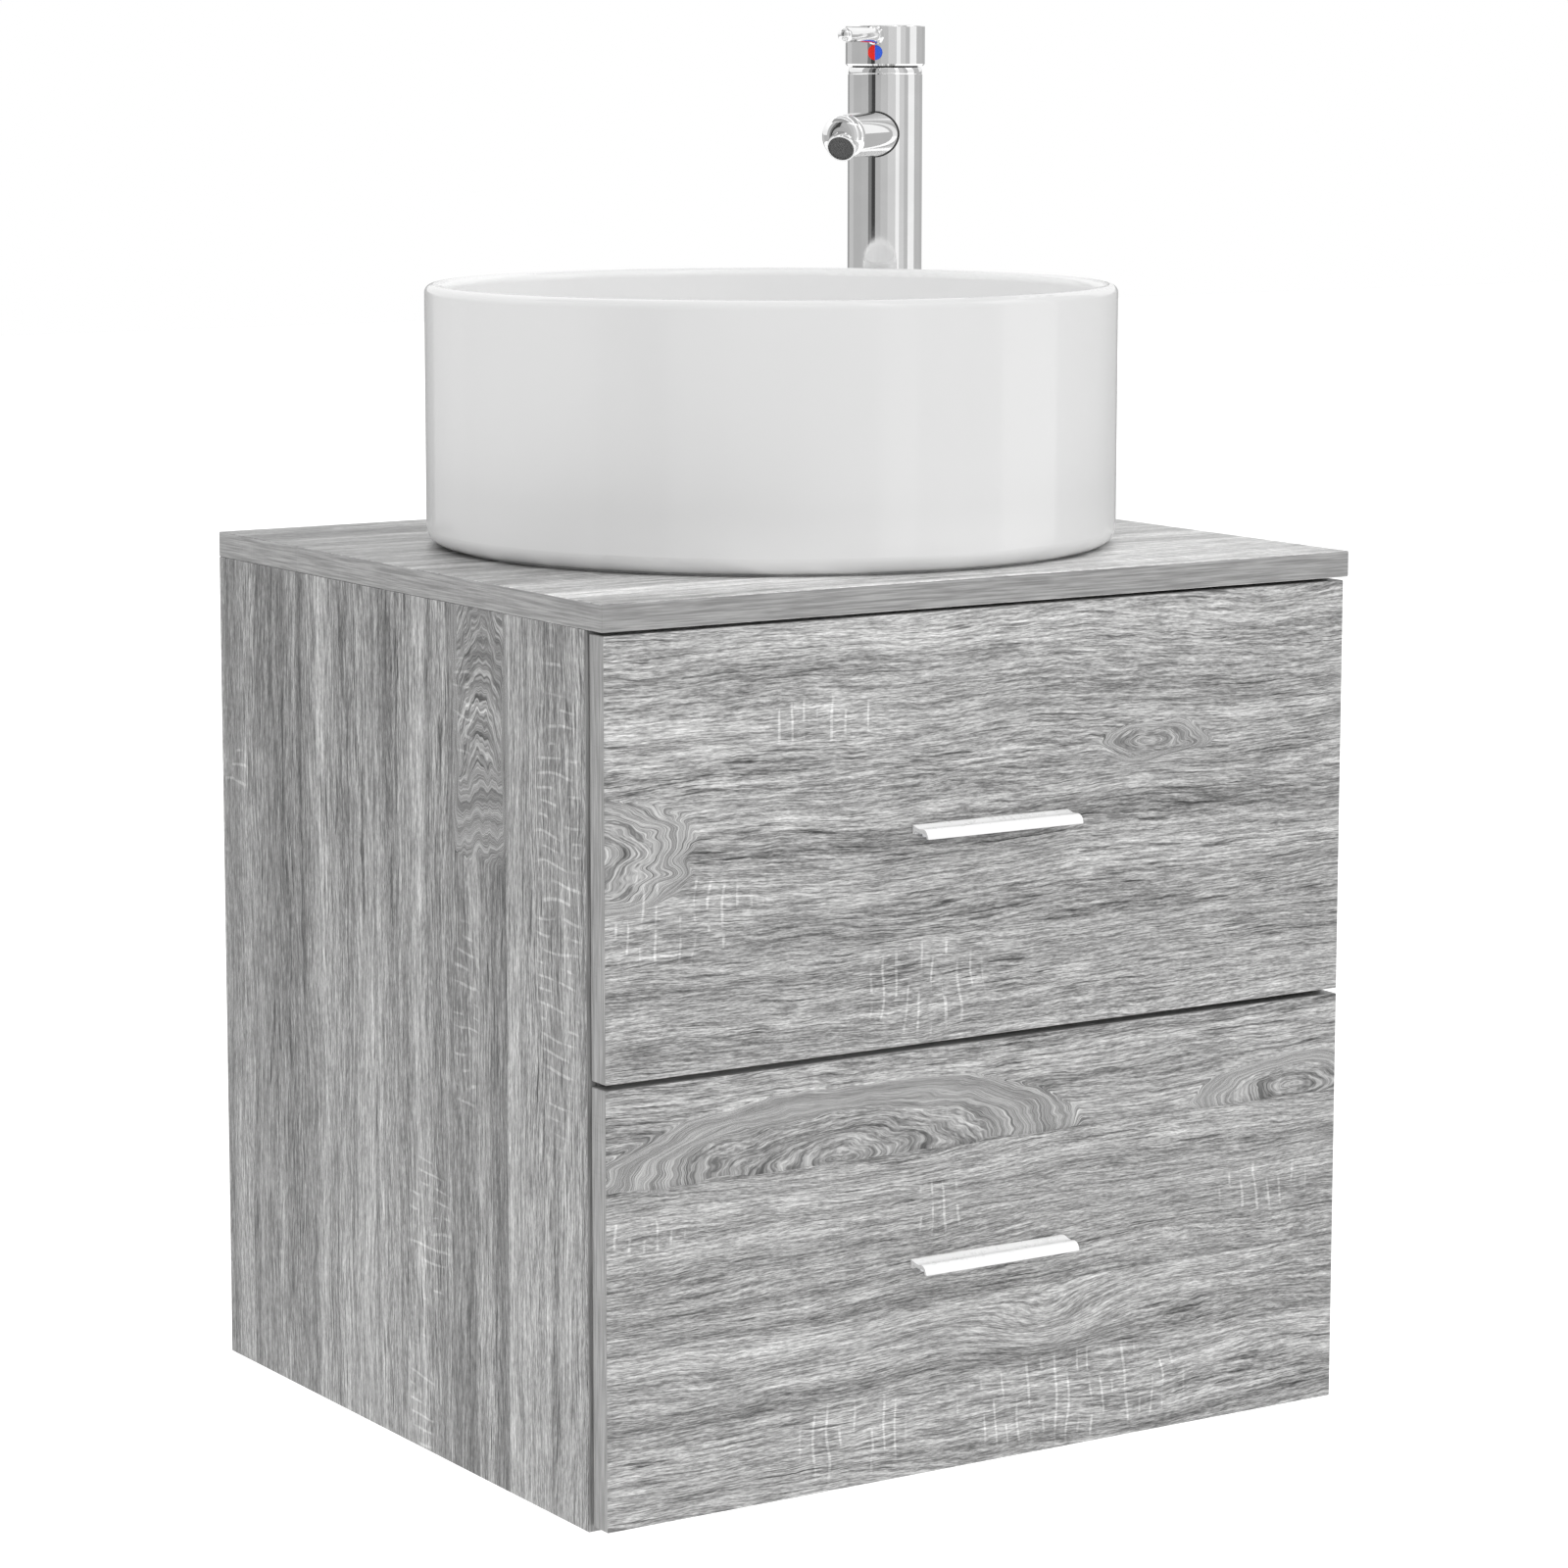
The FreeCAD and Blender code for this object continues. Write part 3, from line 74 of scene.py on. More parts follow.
class Surface:
    """A principled material that is put together from procedural nodes."""

    def __init__(self, name):
        self.material = bpy.data.materials.new(name)
        self.material.use_nodes = True
        self.tree = self.material.node_tree
        self.shader = self.tree.nodes["Principled BSDF"]
        where = self.tree.nodes.new("ShaderNodeTexCoord")
        self.place = where.outputs["Object"]
        self.facing = where.outputs["Normal"]

    def set(self, **values):
        """Put constants on the shader's own sockets, with _ for a space in their names."""
        for name, value in values.items():
            self.shader.inputs[name.replace("_", " ").title().replace("Ior", "IOR")].default_value = value

    def node(self, kind, inputs=(), **settings):
        """A new node whose first inputs take the given numbers, links or None."""
        made = self.tree.nodes.new("ShaderNode" + kind)
        for name, value in settings.items():
            setattr(made, name, value)
        for socket, value in zip(made.inputs, inputs):
            self.feed(socket, value)
        return made

    def feed(self, socket, value):
        if isinstance(value, bpy.types.NodeSocket):
            self.tree.links.new(value, socket)
        elif value is not None:
            socket.default_value = value

    def math(self, operation, *values):
        return self.node("Math", values, operation=operation).outputs[0]

    def total(self, first, *others):
        for other in others:
            first = self.math("ADD", first, other)
        return first

    def split(self, vector):
        return self.node("SeparateXYZ", [vector]).outputs

    def join(self, x, y, z):
        return self.node("CombineXYZ", [x, y, z]).outputs[0]

    def scaled(self, vector, factors):
        return self.node("VectorMath", [vector, factors], operation="MULTIPLY").outputs[0]

    def noise(self, vector, scale, detail=2.0, roughness=0.5, distortion=0.0):
        made = self.node("TexNoise")
        for name, value in (("Vector", vector), ("Scale", scale), ("Detail", detail),
                            ("Roughness", roughness), ("Distortion", distortion)):
            self.feed(made.inputs[name], value)
        return made.outputs[0]

    def ease(self, value, low, high, to_low=0.0, to_high=1.0):
        """The value's place between low and high, clamped and eased, on a new scale."""
        made = self.node("MapRange", [value, low, high, to_low, to_high])
        made.interpolation_type = "SMOOTHSTEP"
        return made.outputs[0]

    def grey(self, tone, tint=(1.0, 1.0, 1.0)):
        """A colour from a display tone between 0 and 1."""
        light = self.math("POWER", tone, 2.2)
        return self.node("CombineColor", [self.math("MULTIPLY", light, part) for part in tint]).outputs[0]

    def between(self, share, first, second):
        """A number that goes from the first value to the second as the share goes from 0 to 1."""
        made = self.node("Mix", data_type="FLOAT")
        for place, value in ((0, share), (2, first), (3, second)):
            self.feed(made.inputs[place], value)
        return made.outputs[0]

    def blend(self, share, first, second):
        """A colour that goes from the first to the second as the share goes from 0 to 1."""
        made = self.node("Mix", data_type="RGBA")
        for place, value in ((0, share), (6, first), (7, second)):
            self.feed(made.inputs[place], value)
        return made.outputs[2]

    def colour(self, value):
        self.feed(self.shader.inputs["Base Color"], value)

    def rough(self, value):
        self.feed(self.shader.inputs["Roughness"], value)

    def bump(self, height, strength, depth):
        made = self.node("Bump")
        made.inputs["Strength"].default_value = strength
        made.inputs["Distance"].default_value = depth
        self.feed(made.inputs["Height"], height)
        self.feed(self.shader.inputs["Normal"], made.outputs[0])


# ------------------------------------------------------------------ grey oak laminate

OAK_GAIN = 0.885        # brings all the oak's tones to the photograph's light
BAND_TONE = 0.60        # of the edge band, before the gain
BAND_SPREAD = 0.09


def hill(surface, u, v, figure):
    """A smooth hill over the board: figure is (u, v, half length, half width), in millimetres."""
    u0, v0, long, wide = figure
    across = surface.math("DIVIDE", surface.math("SUBTRACT", v, v0), wide)
    along = surface.math("DIVIDE", surface.math("SUBTRACT", u, u0), long)
    square = surface.math("ADD", surface.math("MULTIPLY", across, across),
                          surface.math("MULTIPLY", along, along))
    return surface.math("EXPONENT", surface.math("MULTIPLY", square, -1.0))


def eye(surface, u, v, figure):
    """Closed growth rings: how far a point is from the eye's middle, and how much it belongs to it."""
    u0, v0, long, wide, low_v, high_v = figure
    along = surface.math("DIVIDE", surface.math("SUBTRACT", u, u0), long)
    across = surface.math("DIVIDE", surface.math("SUBTRACT", v, v0), wide)
    reach = surface.math("SQRT", surface.math("ADD", surface.math("MULTIPLY", across, across),
                                              surface.math("MULTIPLY", along, along)))
    inside = surface.ease(reach, 1.25, 0.75)
    inside = surface.math("MULTIPLY", inside, surface.math("GREATER_THAN", v, low_v))
    inside = surface.math("MULTIPLY", inside, surface.math("LESS_THAN", v, high_v))
    return surface.math("MULTIPLY", reach, wide), inside


def arch(surface, u, v, figure):
    """Nested arches that open towards low u, as a board cut near the heart shows."""
    u0, v0, long, wide = figure
    across = surface.math("SUBTRACT", v, v0)
    drop = surface.math("MULTIPLY", surface.math("MULTIPLY", across, across), 1.6 / wide)
    ring = surface.math("MULTIPLY", surface.math("ADD", u, drop), 0.45)
    inside = surface.math("MULTIPLY", surface.ease(surface.math("ABSOLUTE", across), wide, wide * 0.85),
                          surface.ease(surface.math("ABSOLUTE", surface.math("SUBTRACT", u, u0)),
                                       long * 1.5, long * 0.7))
    return ring, inside


def oak(name, along, across, thick, tone, seed, contrast=1.0, seams=(), swirls=(), eyes=(), arches=(),
        streaks_and_painted_light=(), marks=()):
    """Printed oak: planks with grain, rings, pores and light saw marks, and a plain edge band.

    The grain runs along u and its lines follow one another along v, both in millimetres.  seams are
    (v, change of tone) at plank edges.  swirls are (hill, millimetres that the grain is pushed
    aside).  eyes and arches redirect the grain.  streaks are (hill, change of tone): dark and light
    bands in the wood, and also painted light, where a hill lightens a board round a shadow that falls
    on it.  marks are hills that hold light saw marks.
    """
    s = Surface(name)
    place = s.split(s.place)
    u = s.math("MULTIPLY", place[along], 1000.0)
    v = s.math("MULTIPLY", place[across], 1000.0)

    plank, shade = 0.0, tone
    for at, change in seams:
        beyond = s.math("GREATER_THAN", v, at)
        plank = s.math("ADD", plank, beyond)
        shade = s.math("MULTIPLY_ADD", beyond, change, shade)
        edge = s.ease(s.math("ABSOLUTE", s.math("SUBTRACT", v, at)), 3.0, 0.0, 0.0, -0.05)
        shade = s.math("ADD", shade, edge)
    plank = s.math("MULTIPLY_ADD", plank, 17.3, seed)

    def grain(line, per_u, per_v, detail, roughness=0.55, shift=0.0):
        """Noise of so many cycles per millimetre along the grain and across its lines."""
        vector = s.join(s.math("MULTIPLY", u, per_u), s.math("MULTIPLY", line, per_v),
                        s.math("ADD", plank, shift))
        return s.noise(vector, 1.0, detail, roughness)

    def swayed(line, per_u, per_v, sway, shift):
        """The line pushed to either side by up to half the sway."""
        middle = s.math("SUBTRACT", line, sway / 2)
        return s.math("MULTIPLY_ADD", grain(v, per_u, per_v, 2.0, shift=shift), sway, middle)

    # The lines that the grain follows: slow waves, then the figures, then ever finer waves.
    line = swayed(v, 0.0035, 0.012, 24.0, 0.0)
    for figure, push in swirls:
        line = s.math("MULTIPLY_ADD", hill(s, u, v, figure), push, line)
    bent_u = swayed(u, 0.016, 0.05, 40.0, 7.0)
    bent_v = swayed(v, 0.02, 0.05, 14.0, 9.0)
    for bend, figures in ((eye, eyes), (arch, arches)):
        for figure in figures:
            ring, inside = bend(s, bent_u, bent_v, figure)
            line = s.between(inside, line, ring)
    wavy = swayed(line, 0.018, 0.05, 4.0, 5.0)
    torn = swayed(wavy, 0.07, 0.12, 1.6, 6.0)

    # Changes of tone, from the broadest to the finest, then the dark pores and light flecks.
    broad = s.ease(grain(line, 0.0010, 0.034, 3.0, shift=2.0), 0.36, 0.66,
                   -0.055 * contrast, 0.032 * contrast)
    rings = s.ease(grain(wavy, 0.0022, 0.13, 4.0, 0.65, shift=8.0), 0.32, 0.70,
                   0.040 * contrast, -0.050 * contrast)
    fibres = s.ease(grain(torn, 0.042, 0.80, 4.0, 0.68, shift=11.0), 0.34, 0.66, -0.145, 0.135)
    fine = s.ease(grain(torn, 0.22, 1.6, 2.0, 0.7, shift=12.0), 0.34, 0.66, -0.10, 0.10)
    cloud = s.ease(grain(v, 0.010, 0.02, 3.0, shift=14.0), 0.3, 0.7, -0.018, 0.018)
    dash = grain(torn, 0.023, 0.55, 2.0, 0.6, shift=19.0)
    where = s.ease(grain(v, 0.006, 0.03, 2.0, shift=23.0), 0.40, 0.60, 0.25, 1.0)
    pores = s.math("MULTIPLY", s.ease(dash, 0.59, 0.65), where)
    flecks = s.ease(dash, 0.41, 0.35)

    shade = s.total(shade, broad, rings, fibres, fine, cloud)
    shade = s.math("MULTIPLY_ADD", pores, -0.23, shade)
    shade = s.math("MULTIPLY_ADD", flecks, 0.06, shade)
    for figure, change in streaks_and_painted_light:
        shade = s.math("MULTIPLY_ADD", hill(s, u, wavy, figure), change, shade)

    if marks:
        patch = 0.0
        for figure in marks:
            patch = s.math("MAXIMUM", patch, hill(s, u, v, figure))

        def strokes(coordinate, other, pitch, shift):
            """Thin light lines, one pitch apart, that come and go along their length."""
            drift = grain(v, 0.02, 0.02, 1.0, shift=shift)
            turn = s.math("FRACT", s.math("MULTIPLY_ADD", coordinate, 1.0 / pitch,
                                          s.math("MULTIPLY", drift, 2.0)))
            off = s.math("ABSOLUTE", s.math("SUBTRACT", turn, 0.5))
            cell = s.noise(s.join(s.math("MULTIPLY", coordinate, 0.9 / pitch),
                                  s.math("MULTIPLY", other, 0.045), plank), 1.0, 1.0)
            return s.math("MULTIPLY", s.ease(off, 0.13, 0.05), s.ease(cell, 0.43, 0.53))

        cut = s.math("MAXIMUM", strokes(u, v, 8.5, 31.0),
                     s.math("MULTIPLY", strokes(line, u, 7.0, 37.0), 0.6))
        cut = s.math("MULTIPLY", cut, s.ease(patch, 0.25, 0.5))
        shade = s.math("MULTIPLY_ADD", cut, 0.15, shade)

    # The board's narrow faces have a plain band of fine lines.
    depth = s.math("MULTIPLY", place[thick], 1000.0)
    band_lines = s.noise(s.join(s.math("MULTIPLY", u, 0.02), s.math("MULTIPLY", v, 0.02),
                                s.math("MULTIPLY", depth, 0.75)), 1.0, 3.0, 0.7)
    band = s.ease(band_lines, 0.32, 0.68, BAND_TONE - BAND_SPREAD, BAND_TONE + BAND_SPREAD)
    flat = s.math("GREATER_THAN", s.math("ABSOLUTE", s.split(s.facing)[thick]), 0.6)
    shown = s.math("MULTIPLY", s.between(flat, band, shade), OAK_GAIN)
    s.colour(s.grey(shown, (1.0, 0.997, 0.99)))
    s.rough(s.math("MULTIPLY_ADD", pores, 0.12, 0.34))
    s.bump(s.math("MULTIPLY_ADD", pores, -0.8, s.math("MULTIPLY", fibres, 4.0)), 0.25, 0.00015)
    return s.material


# ------------------------------------------------------------------ other materials

def grained(name, tone, spread, size, roughness, tint=(1.0, 1.0, 1.0), pit=0.0, **settings):
    """A plain material whose tone, gloss and surface vary softly: size is the grain in metres."""
    s = Surface(name)
    fine = s.noise(s.place, 1.0 / size, 3.0, 0.6)
    wide = s.noise(s.place, 9.0, 3.0, 0.5)
    tone_here = s.total(s.ease(fine, 0.3, 0.7, tone - spread, tone + spread),
                        s.ease(wide, 0.3, 0.7, -spread, spread))
    s.colour(s.grey(tone_here, tint))
    s.rough(s.ease(wide, 0.25, 0.75, roughness - 0.05, roughness + 0.06))
    if pit:
        s.bump(fine, pit, size * 0.3)
    s.set(**settings)
    return s.material


def satin_with_painted_shade(name, low, high):
    """Satin white paint with painted shade and painted highlight: whiter on the faces that look up than on
    those that look down.
    """
    s = Surface(name)
    up = s.split(s.facing)[Z]
    mottle = s.noise(s.place, 160.0, 3.0, 0.6)
    # Painted shade: the tone runs from low on faces that look down to high on faces that look up.
    s.colour(s.grey(s.total(s.ease(up, -0.5, 0.7, low, high), s.ease(mottle, 0.3, 0.7, -0.006, 0.006))))
    s.rough(s.ease(mottle, 0.3, 0.7, 0.26, 0.34))
    s.bump(mottle, 0.05, 0.0002)
    s.set(coat_weight=0.5, coat_roughness=0.2)
    return s.material


def plated(name, tone, roughness):
    """Polished plated metal with faint smudges and polishing marks."""
    s = Surface(name)
    smudge = s.noise(s.place, 38.0, 4.0, 0.6, 0.4)
    polish = s.noise(s.scaled(s.place, (1400.0, 1400.0, 120.0)), 1.0, 2.0)
    s.colour(s.grey(s.ease(smudge, 0.3, 0.7, tone - 0.01, tone + 0.01)))
    s.rough(s.ease(smudge, 0.35, 0.7, roughness, roughness + 0.03))
    s.bump(polish, 0.02, 0.00001)
    s.set(metallic=1.0)
    return s.material


def turned(name, tone, roughness, tint):
    """Machined metal with fine tool rings."""
    s = Surface(name)
    wear = s.noise(s.place, 60.0, 4.0, 0.65)
    rings = s.noise(s.scaled(s.place, (90.0, 90.0, 3500.0)), 1.0, 2.0)
    s.colour(s.grey(s.ease(wear, 0.3, 0.7, tone - 0.05, tone + 0.03), tint))
    s.rough(s.ease(wear, 0.3, 0.7, roughness - 0.06, roughness + 0.10))
    s.bump(rings, 0.12, 0.00005)
    s.set(metallic=1.0)
    return s.material


def glaze(name, axis, radius, foot):
    """Thick white glaze over ceramic, painted a little whiter within the rim's radius and at the foot:
    painted light, for the light that falls into the bowl and against the contact shadow at the foot.
    """
    s = Surface(name)
    body = s.noise(s.place, 7.0, 2.0)
    specks = s.noise(s.place, 900.0, 2.0)
    ripple = s.noise(s.place, 30.0, 2.0)
    place = s.split(s.place)
    aside = s.math("SUBTRACT", place[X], axis[X])
    ahead = s.math("SUBTRACT", place[Y], axis[Y])
    reach = s.math("SQRT", s.math("ADD", s.math("MULTIPLY", aside, aside), s.math("MULTIPLY", ahead, ahead)))
    # Painted light: the tone is 0.875 within the rim's radius and 0.795 outside it, and 0.06 higher at the
    # foot, fading out over 40 mm, where the contact shadow falls.
    rim_inside, rim_middle, painted_light_rise = radius - 0.0097, radius - 0.006, 0.04
    tone = s.total(s.ease(reach, rim_inside, rim_middle, 0.875, 0.795),
                   s.ease(body, 0.3, 0.7, -0.005, 0.005), s.ease(specks, 0.7, 0.8, 0.0, -0.02),
                   s.ease(place[Z], foot, foot + painted_light_rise, 0.06, 0.0))
    s.colour(s.grey(tone))
    s.rough(s.ease(ripple, 0.3, 0.7, 0.08, 0.11))
    s.bump(ripple, 0.03, 0.0004)
    s.set(ior=1.45, coat_weight=0.08, coat_roughness=0.04)
    return s.material


def woven(name):
    """The fine dark wire mesh of an aerator."""
    s = Surface(name)
    across = s.math("SINE", s.math("MULTIPLY", s.split(s.place)[X], 9000.0))
    down = s.math("SINE", s.math("MULTIPLY", s.split(s.place)[Z], 9000.0))
    wire = s.math("MAXIMUM", across, down)
    s.colour(s.grey(s.ease(wire, 0.2, 0.9, 0.22, 0.42)))
    s.rough(s.ease(wire, 0.0, 1.0, 0.6, 0.4))
    s.bump(wire, 0.5, 0.0001)
    s.set(metallic=0.3)
    return s.material


def two_colour_mark(name, centre, heading):
    """Red to one side of the upright plane through centre along heading, blue to the other."""
    s = Surface(name)
    place = s.split(s.place)
    side = s.total(s.math("MULTIPLY", s.math("SUBTRACT", place[X], centre[X]), -math.sin(heading)),
                   s.math("MULTIPLY", s.math("SUBTRACT", place[Y], centre[Y]), math.cos(heading)))
    shade = s.ease(s.noise(s.place, 500.0, 2.0), 0.3, 0.7, 0.0, 0.25)
    red = s.blend(shade, (0.80, 0.02, 0.01, 1.0), (0.62, 0.015, 0.01, 1.0))
    blue = s.blend(shade, (0.01, 0.10, 0.72, 1.0), (0.01, 0.07, 0.55, 1.0))
    s.colour(s.blend(s.math("GREATER_THAN", side, 0.0), red, blue))
    s.rough(s.ease(shade, 0.0, 0.25, 0.18, 0.26))
    s.set(coat_weight=0.5)
    return s.material


# ------------------------------------------------------------------ the boards' own figures, and painted light on the top board

def paint(material, *names):
    """Give the material to the named nodes of the design."""
    for name in names:
        mesh = nodes[name].data
        mesh.materials.clear()
        mesh.materials.append(material)


paint(oak("oak_upper_front", X, Z, Y, 0.655, seed=3.1, contrast=1.35,
          seams=[(-121.0, 0.012), (-31.0, 0.010)],
          eyes=[(113.0, -24.0, 32.0, 10.0, -60.0, 20.0), (-258.0, -60.0, 52.0, 26.0, -121.0, 0.0)],
          streaks_and_painted_light=[((40.0, -104.0, 230.0, 8.0), -0.10), ((-190.0, -5.0, 110.0, 3.0), -0.10),
                   ((-190.0, -23.0, 90.0, 3.0), -0.09), ((200.0, -22.0, 120.0, 6.0), -0.11),
                   ((-220.0, 47.0, 60.0, 5.0), -0.08), ((-110.0, -116.0, 60.0, 5.0), -0.10),
                   ((120.0, 30.0, 200.0, 14.0), 0.03)],
          marks=[(-205.0, -97.0, 55.0, 22.0), (-43.0, -150.0, 40.0, 26.0), (-112.0, 4.0, 40.0, 12.0)]),
      "upper_drawer_front")
paint(oak("oak_lower_front", X, Z, Y, 0.655, seed=8.7, contrast=1.35,
          seams=[(-328.5, 0.012), (-241.5, -0.025)],
          swirls=[((39.0, -352.0, 40.0, 16.0), 14.0)],
          eyes=[(-100.0, -239.0, 135.0, 33.0, -241.5, -185.0), (215.0, -236.0, 60.0, 16.0, -241.5, -185.0)],
          streaks_and_painted_light=[((-105.0, -232.0, 110.0, 9.0), -0.10), ((-170.0, -290.0, 170.0, 5.0), -0.08),
                   ((-180.0, -308.0, 120.0, 4.0), -0.09), ((-120.0, -323.0, 200.0, 4.0), -0.09),
                   ((80.0, -398.0, 260.0, 5.0), -0.07), ((60.0, -415.0, 260.0, 4.0), -0.07),
                   ((210.0, -232.0, 50.0, 7.0), -0.07)],
          marks=[(60.0, -397.0, 85.0, 26.0), (-90.0, -398.0, 36.0, 24.0), (-33.0, -275.0, 20.0, 16.0),
                 (195.0, -292.0, 34.0, 14.0), (-222.0, -265.0, 30.0, 10.0)]),
      "lower_drawer_front")
paint(oak("oak_left_side", Z, Y, X, 0.612, seed=5.2, contrast=1.6,
          seams=[(-346.0, -0.045), (-284.0, 0.05), (-221.0, -0.02), (-194.0, 0.015), (-104.0, -0.05),
                 (-34.0, 0.02)],
          arches=[(20.0, -318.0, 70.0, 30.0)],
          streaks_and_painted_light=[((20.0, -290.0, 110.0, 7.0), -0.12), ((-380.0, -300.0, 90.0, 9.0), -0.10),
                   ((-150.0, -209.0, 360.0, 8.0), -0.12), ((-120.0, -106.0, 330.0, 5.0), -0.13),
                   ((-180.0, -122.0, 160.0, 6.0), -0.06), ((20.0, -318.0, 50.0, 16.0), -0.07),
                   ((-200.0, -68.0, 300.0, 26.0), -0.045), ((-180.0, -400.0, 400.0, 70.0), -0.03),
                   ((-230.0, -340.0, 200.0, 5.0), -0.08)],
          marks=[(-80.0, -403.0, 140.0, 24.0), (-300.0, -255.0, 45.0, 24.0), (-400.0, -245.0, 40.0, 14.0),
                 (-175.0, -300.0, 60.0, 14.0), (5.0, -300.0, 30.0, 12.0), (-66.0, -18.0, 14.0, 16.0)]),
      "side_panel_left")
paint(oak("oak_right_side", Z, Y, X, 0.625, seed=12.4, contrast=1.6,
          seams=[(-330.0, 0.03), (-240.0, -0.03), (-150.0, 0.02), (-60.0, -0.02)],
          arches=[(-60.0, -200.0, 120.0, 26.0)],
          streaks_and_painted_light=[((-250.0, -290.0, 200.0, 8.0), -0.07), ((-100.0, -110.0, 160.0, 9.0), -0.06)],
          marks=[(-100.0, -350.0, 90.0, 22.0), (-330.0, -120.0, 60.0, 20.0)]),
      "side_panel_right")
# The top board's tone, 0.72 against the fronts' 0.655, is painted light: the same laminate drawn lighter for
# the light and sheen that its upward face takes.
paint(oak("oak_top", X, Y, Z, 0.72, seed=1.5, contrast=2.2,
          seams=[(-365.0, -0.03), (-275.0, 0.02), (-185.0, -0.02), (-95.0, -0.02)],
          streaks_and_painted_light=[((-120.0, -60.0, 220.0, 8.0), -0.09), ((-250.0, -30.0, 200.0, 200.0), -0.20),
                   # Painted light: this hill at the basin's axis lightens the board round the basin's foot,
                   # where the basin's contact shadow falls.
                   ((20.0, -480.0, 380.0, 150.0), 0.20), ((0.0, -223.0, 190.0, 190.0), 0.28),
                   ((250.0, -150.0, 160.0, 200.0), -0.01)],
          marks=[(160.0, -420.0, 60.0, 20.0), (-180.0, -330.0, 40.0, 18.0)]),
      "top_board")
paint(oak("oak_plain", X, Z, Y, 0.64, seed=20.0, seams=[(-380.0, -0.02), (0.0, 0.02)]),
      "back_rail_upper", "back_rail_lower")
paint(oak("oak_bottom", X, Y, Z, 0.64, seed=26.0, seams=[(-300.0, 0.03), (-210.0, -0.03), (-120.0, 0.02)]),
      "bottom_panel")

chrome = plated("bright_chrome", 0.935, 0.035)
paint(chrome, "mixer_body", "mixer_dome_ring", "mixer_cap", "mixer_lever", "mixer_spout", "aerator_housing",
      "waste_body", "waste_plug", "trap_inlet_tube", "trap_nuts", "trap_body", "trap_cup",
      "trap_outlet_pipe", "wall_rosette")
paint(glaze("white_glaze_painted_light", BASIN_AXIS, BASIN_RADIUS, BASIN_FOOT), "basin")
paint(grained("clear_sealant", 0.88, 0.02, 0.004, 0.35, pit=0.1), "basin_seal")
paint(grained("black_rubber", 0.16, 0.02, 0.0006, 0.7, pit=0.3), "waste_gaskets", "mixer_base_seal")
paint(turned("machined_brass", 0.86, 0.30, (1.0, 0.78, 0.42)),
      "waste_nut", "mixer_stud", "stud_nut", "cartridge_stem")
paint(turned("zinc_plate", 0.80, 0.34, (1.0, 1.01, 1.03)),
      "wall_hanger_left", "wall_hanger_right", "panel_screws", "upper_drawer_screws",
      "lower_drawer_screws", "horseshoe_washer")
paint(grained("moulded_plastic", 0.86, 0.015, 0.001, 0.35, pit=0.05),
      "cartridge_housing", "cartridge_carrier")
paint(grained("liner_plastic", 0.82, 0.015, 0.0012, 0.5, pit=0.25), "upper_trap_liner")
paint(grained("white_melamine", 0.88, 0.012, 0.0009, 0.42, pit=0.15),
      "upper_drawer_bottom", "upper_drawer_back", "lower_drawer_bottom", "lower_drawer_back")
runner_parts = [f"{level}_{kind}_{side}" for level in ("upper", "lower")
                for kind in ("channel", "drawer_side") for side in ("left", "right")]
paint(grained("powder_coat", 0.90, 0.012, 0.0008, 0.40, pit=0.3), *runner_parts)
paint(grained("roller_nylon", 0.88, 0.02, 0.002, 0.45, tint=(1.0, 0.98, 0.93), pit=0.05,
              subsurface_weight=0.1),
      "upper_front_rollers", "upper_rear_rollers", "lower_front_rollers", "lower_rear_rollers")
paint(grained("raw_beech", 0.78, 0.05, 0.002, 0.6, tint=(1.0, 0.80, 0.58), pit=0.2), "carcass_dowels")
paint(woven("aerator_wire"), "aerator_mesh")
paint(two_colour_mark("mark_enamel", MIXER_AXIS, MIXER_HEADING), "hot_cold_mark")

# ------------------------------------------------------------------ finer meshes than the design's

def linked(name, mesh):
    """A new object of the mesh, in the scene."""
    made = bpy.data.objects.new(name, mesh)
    scene.collection.objects.link(made)
    return made


def new_piece(name, body, points, faces, materials, replaced, slots=None):
    """A closed, smooth-shaded mesh that rides with a body and stands in for the named node."""
    mesh = bpy.data.meshes.new(name)
    mesh.from_pydata(points, [], faces)
    for material in materials:
        mesh.materials.append(material)
    if slots:
        mesh.polygons.foreach_set("material_index", slots)
    made = linked(name, mesh)
    work = bmesh.new()
    work.from_mesh(mesh)
    bmesh.ops.remove_doubles(work, verts=work.verts[:], dist=0.001 * MM)
    bmesh.ops.recalc_face_normals(work, faces=work.faces[:])
    work.to_mesh(mesh)
    work.free()
    mesh.shade_smooth()
    mesh.set_sharp_from_angle(angle=math.radians(38))
    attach(made, body)
    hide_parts(replaced)


def swept(rings):
    """Skin rings of equal length, each a list of points, and close both ends with one face."""
    count = len(rings[0])
    points = [point for ring in rings for point in ring]
    faces = []
    for row in range(len(rings) - 1):
        for i in range(count):
            j = (i + 1) % count
            faces.append((row * count + i, row * count + j, (row + 1) * count + j, (row + 1) * count + i))
    faces.append(tuple(reversed(range(count))))
    faces.append(tuple((len(rings) - 1) * count + i for i in range(count)))
    return points, faces


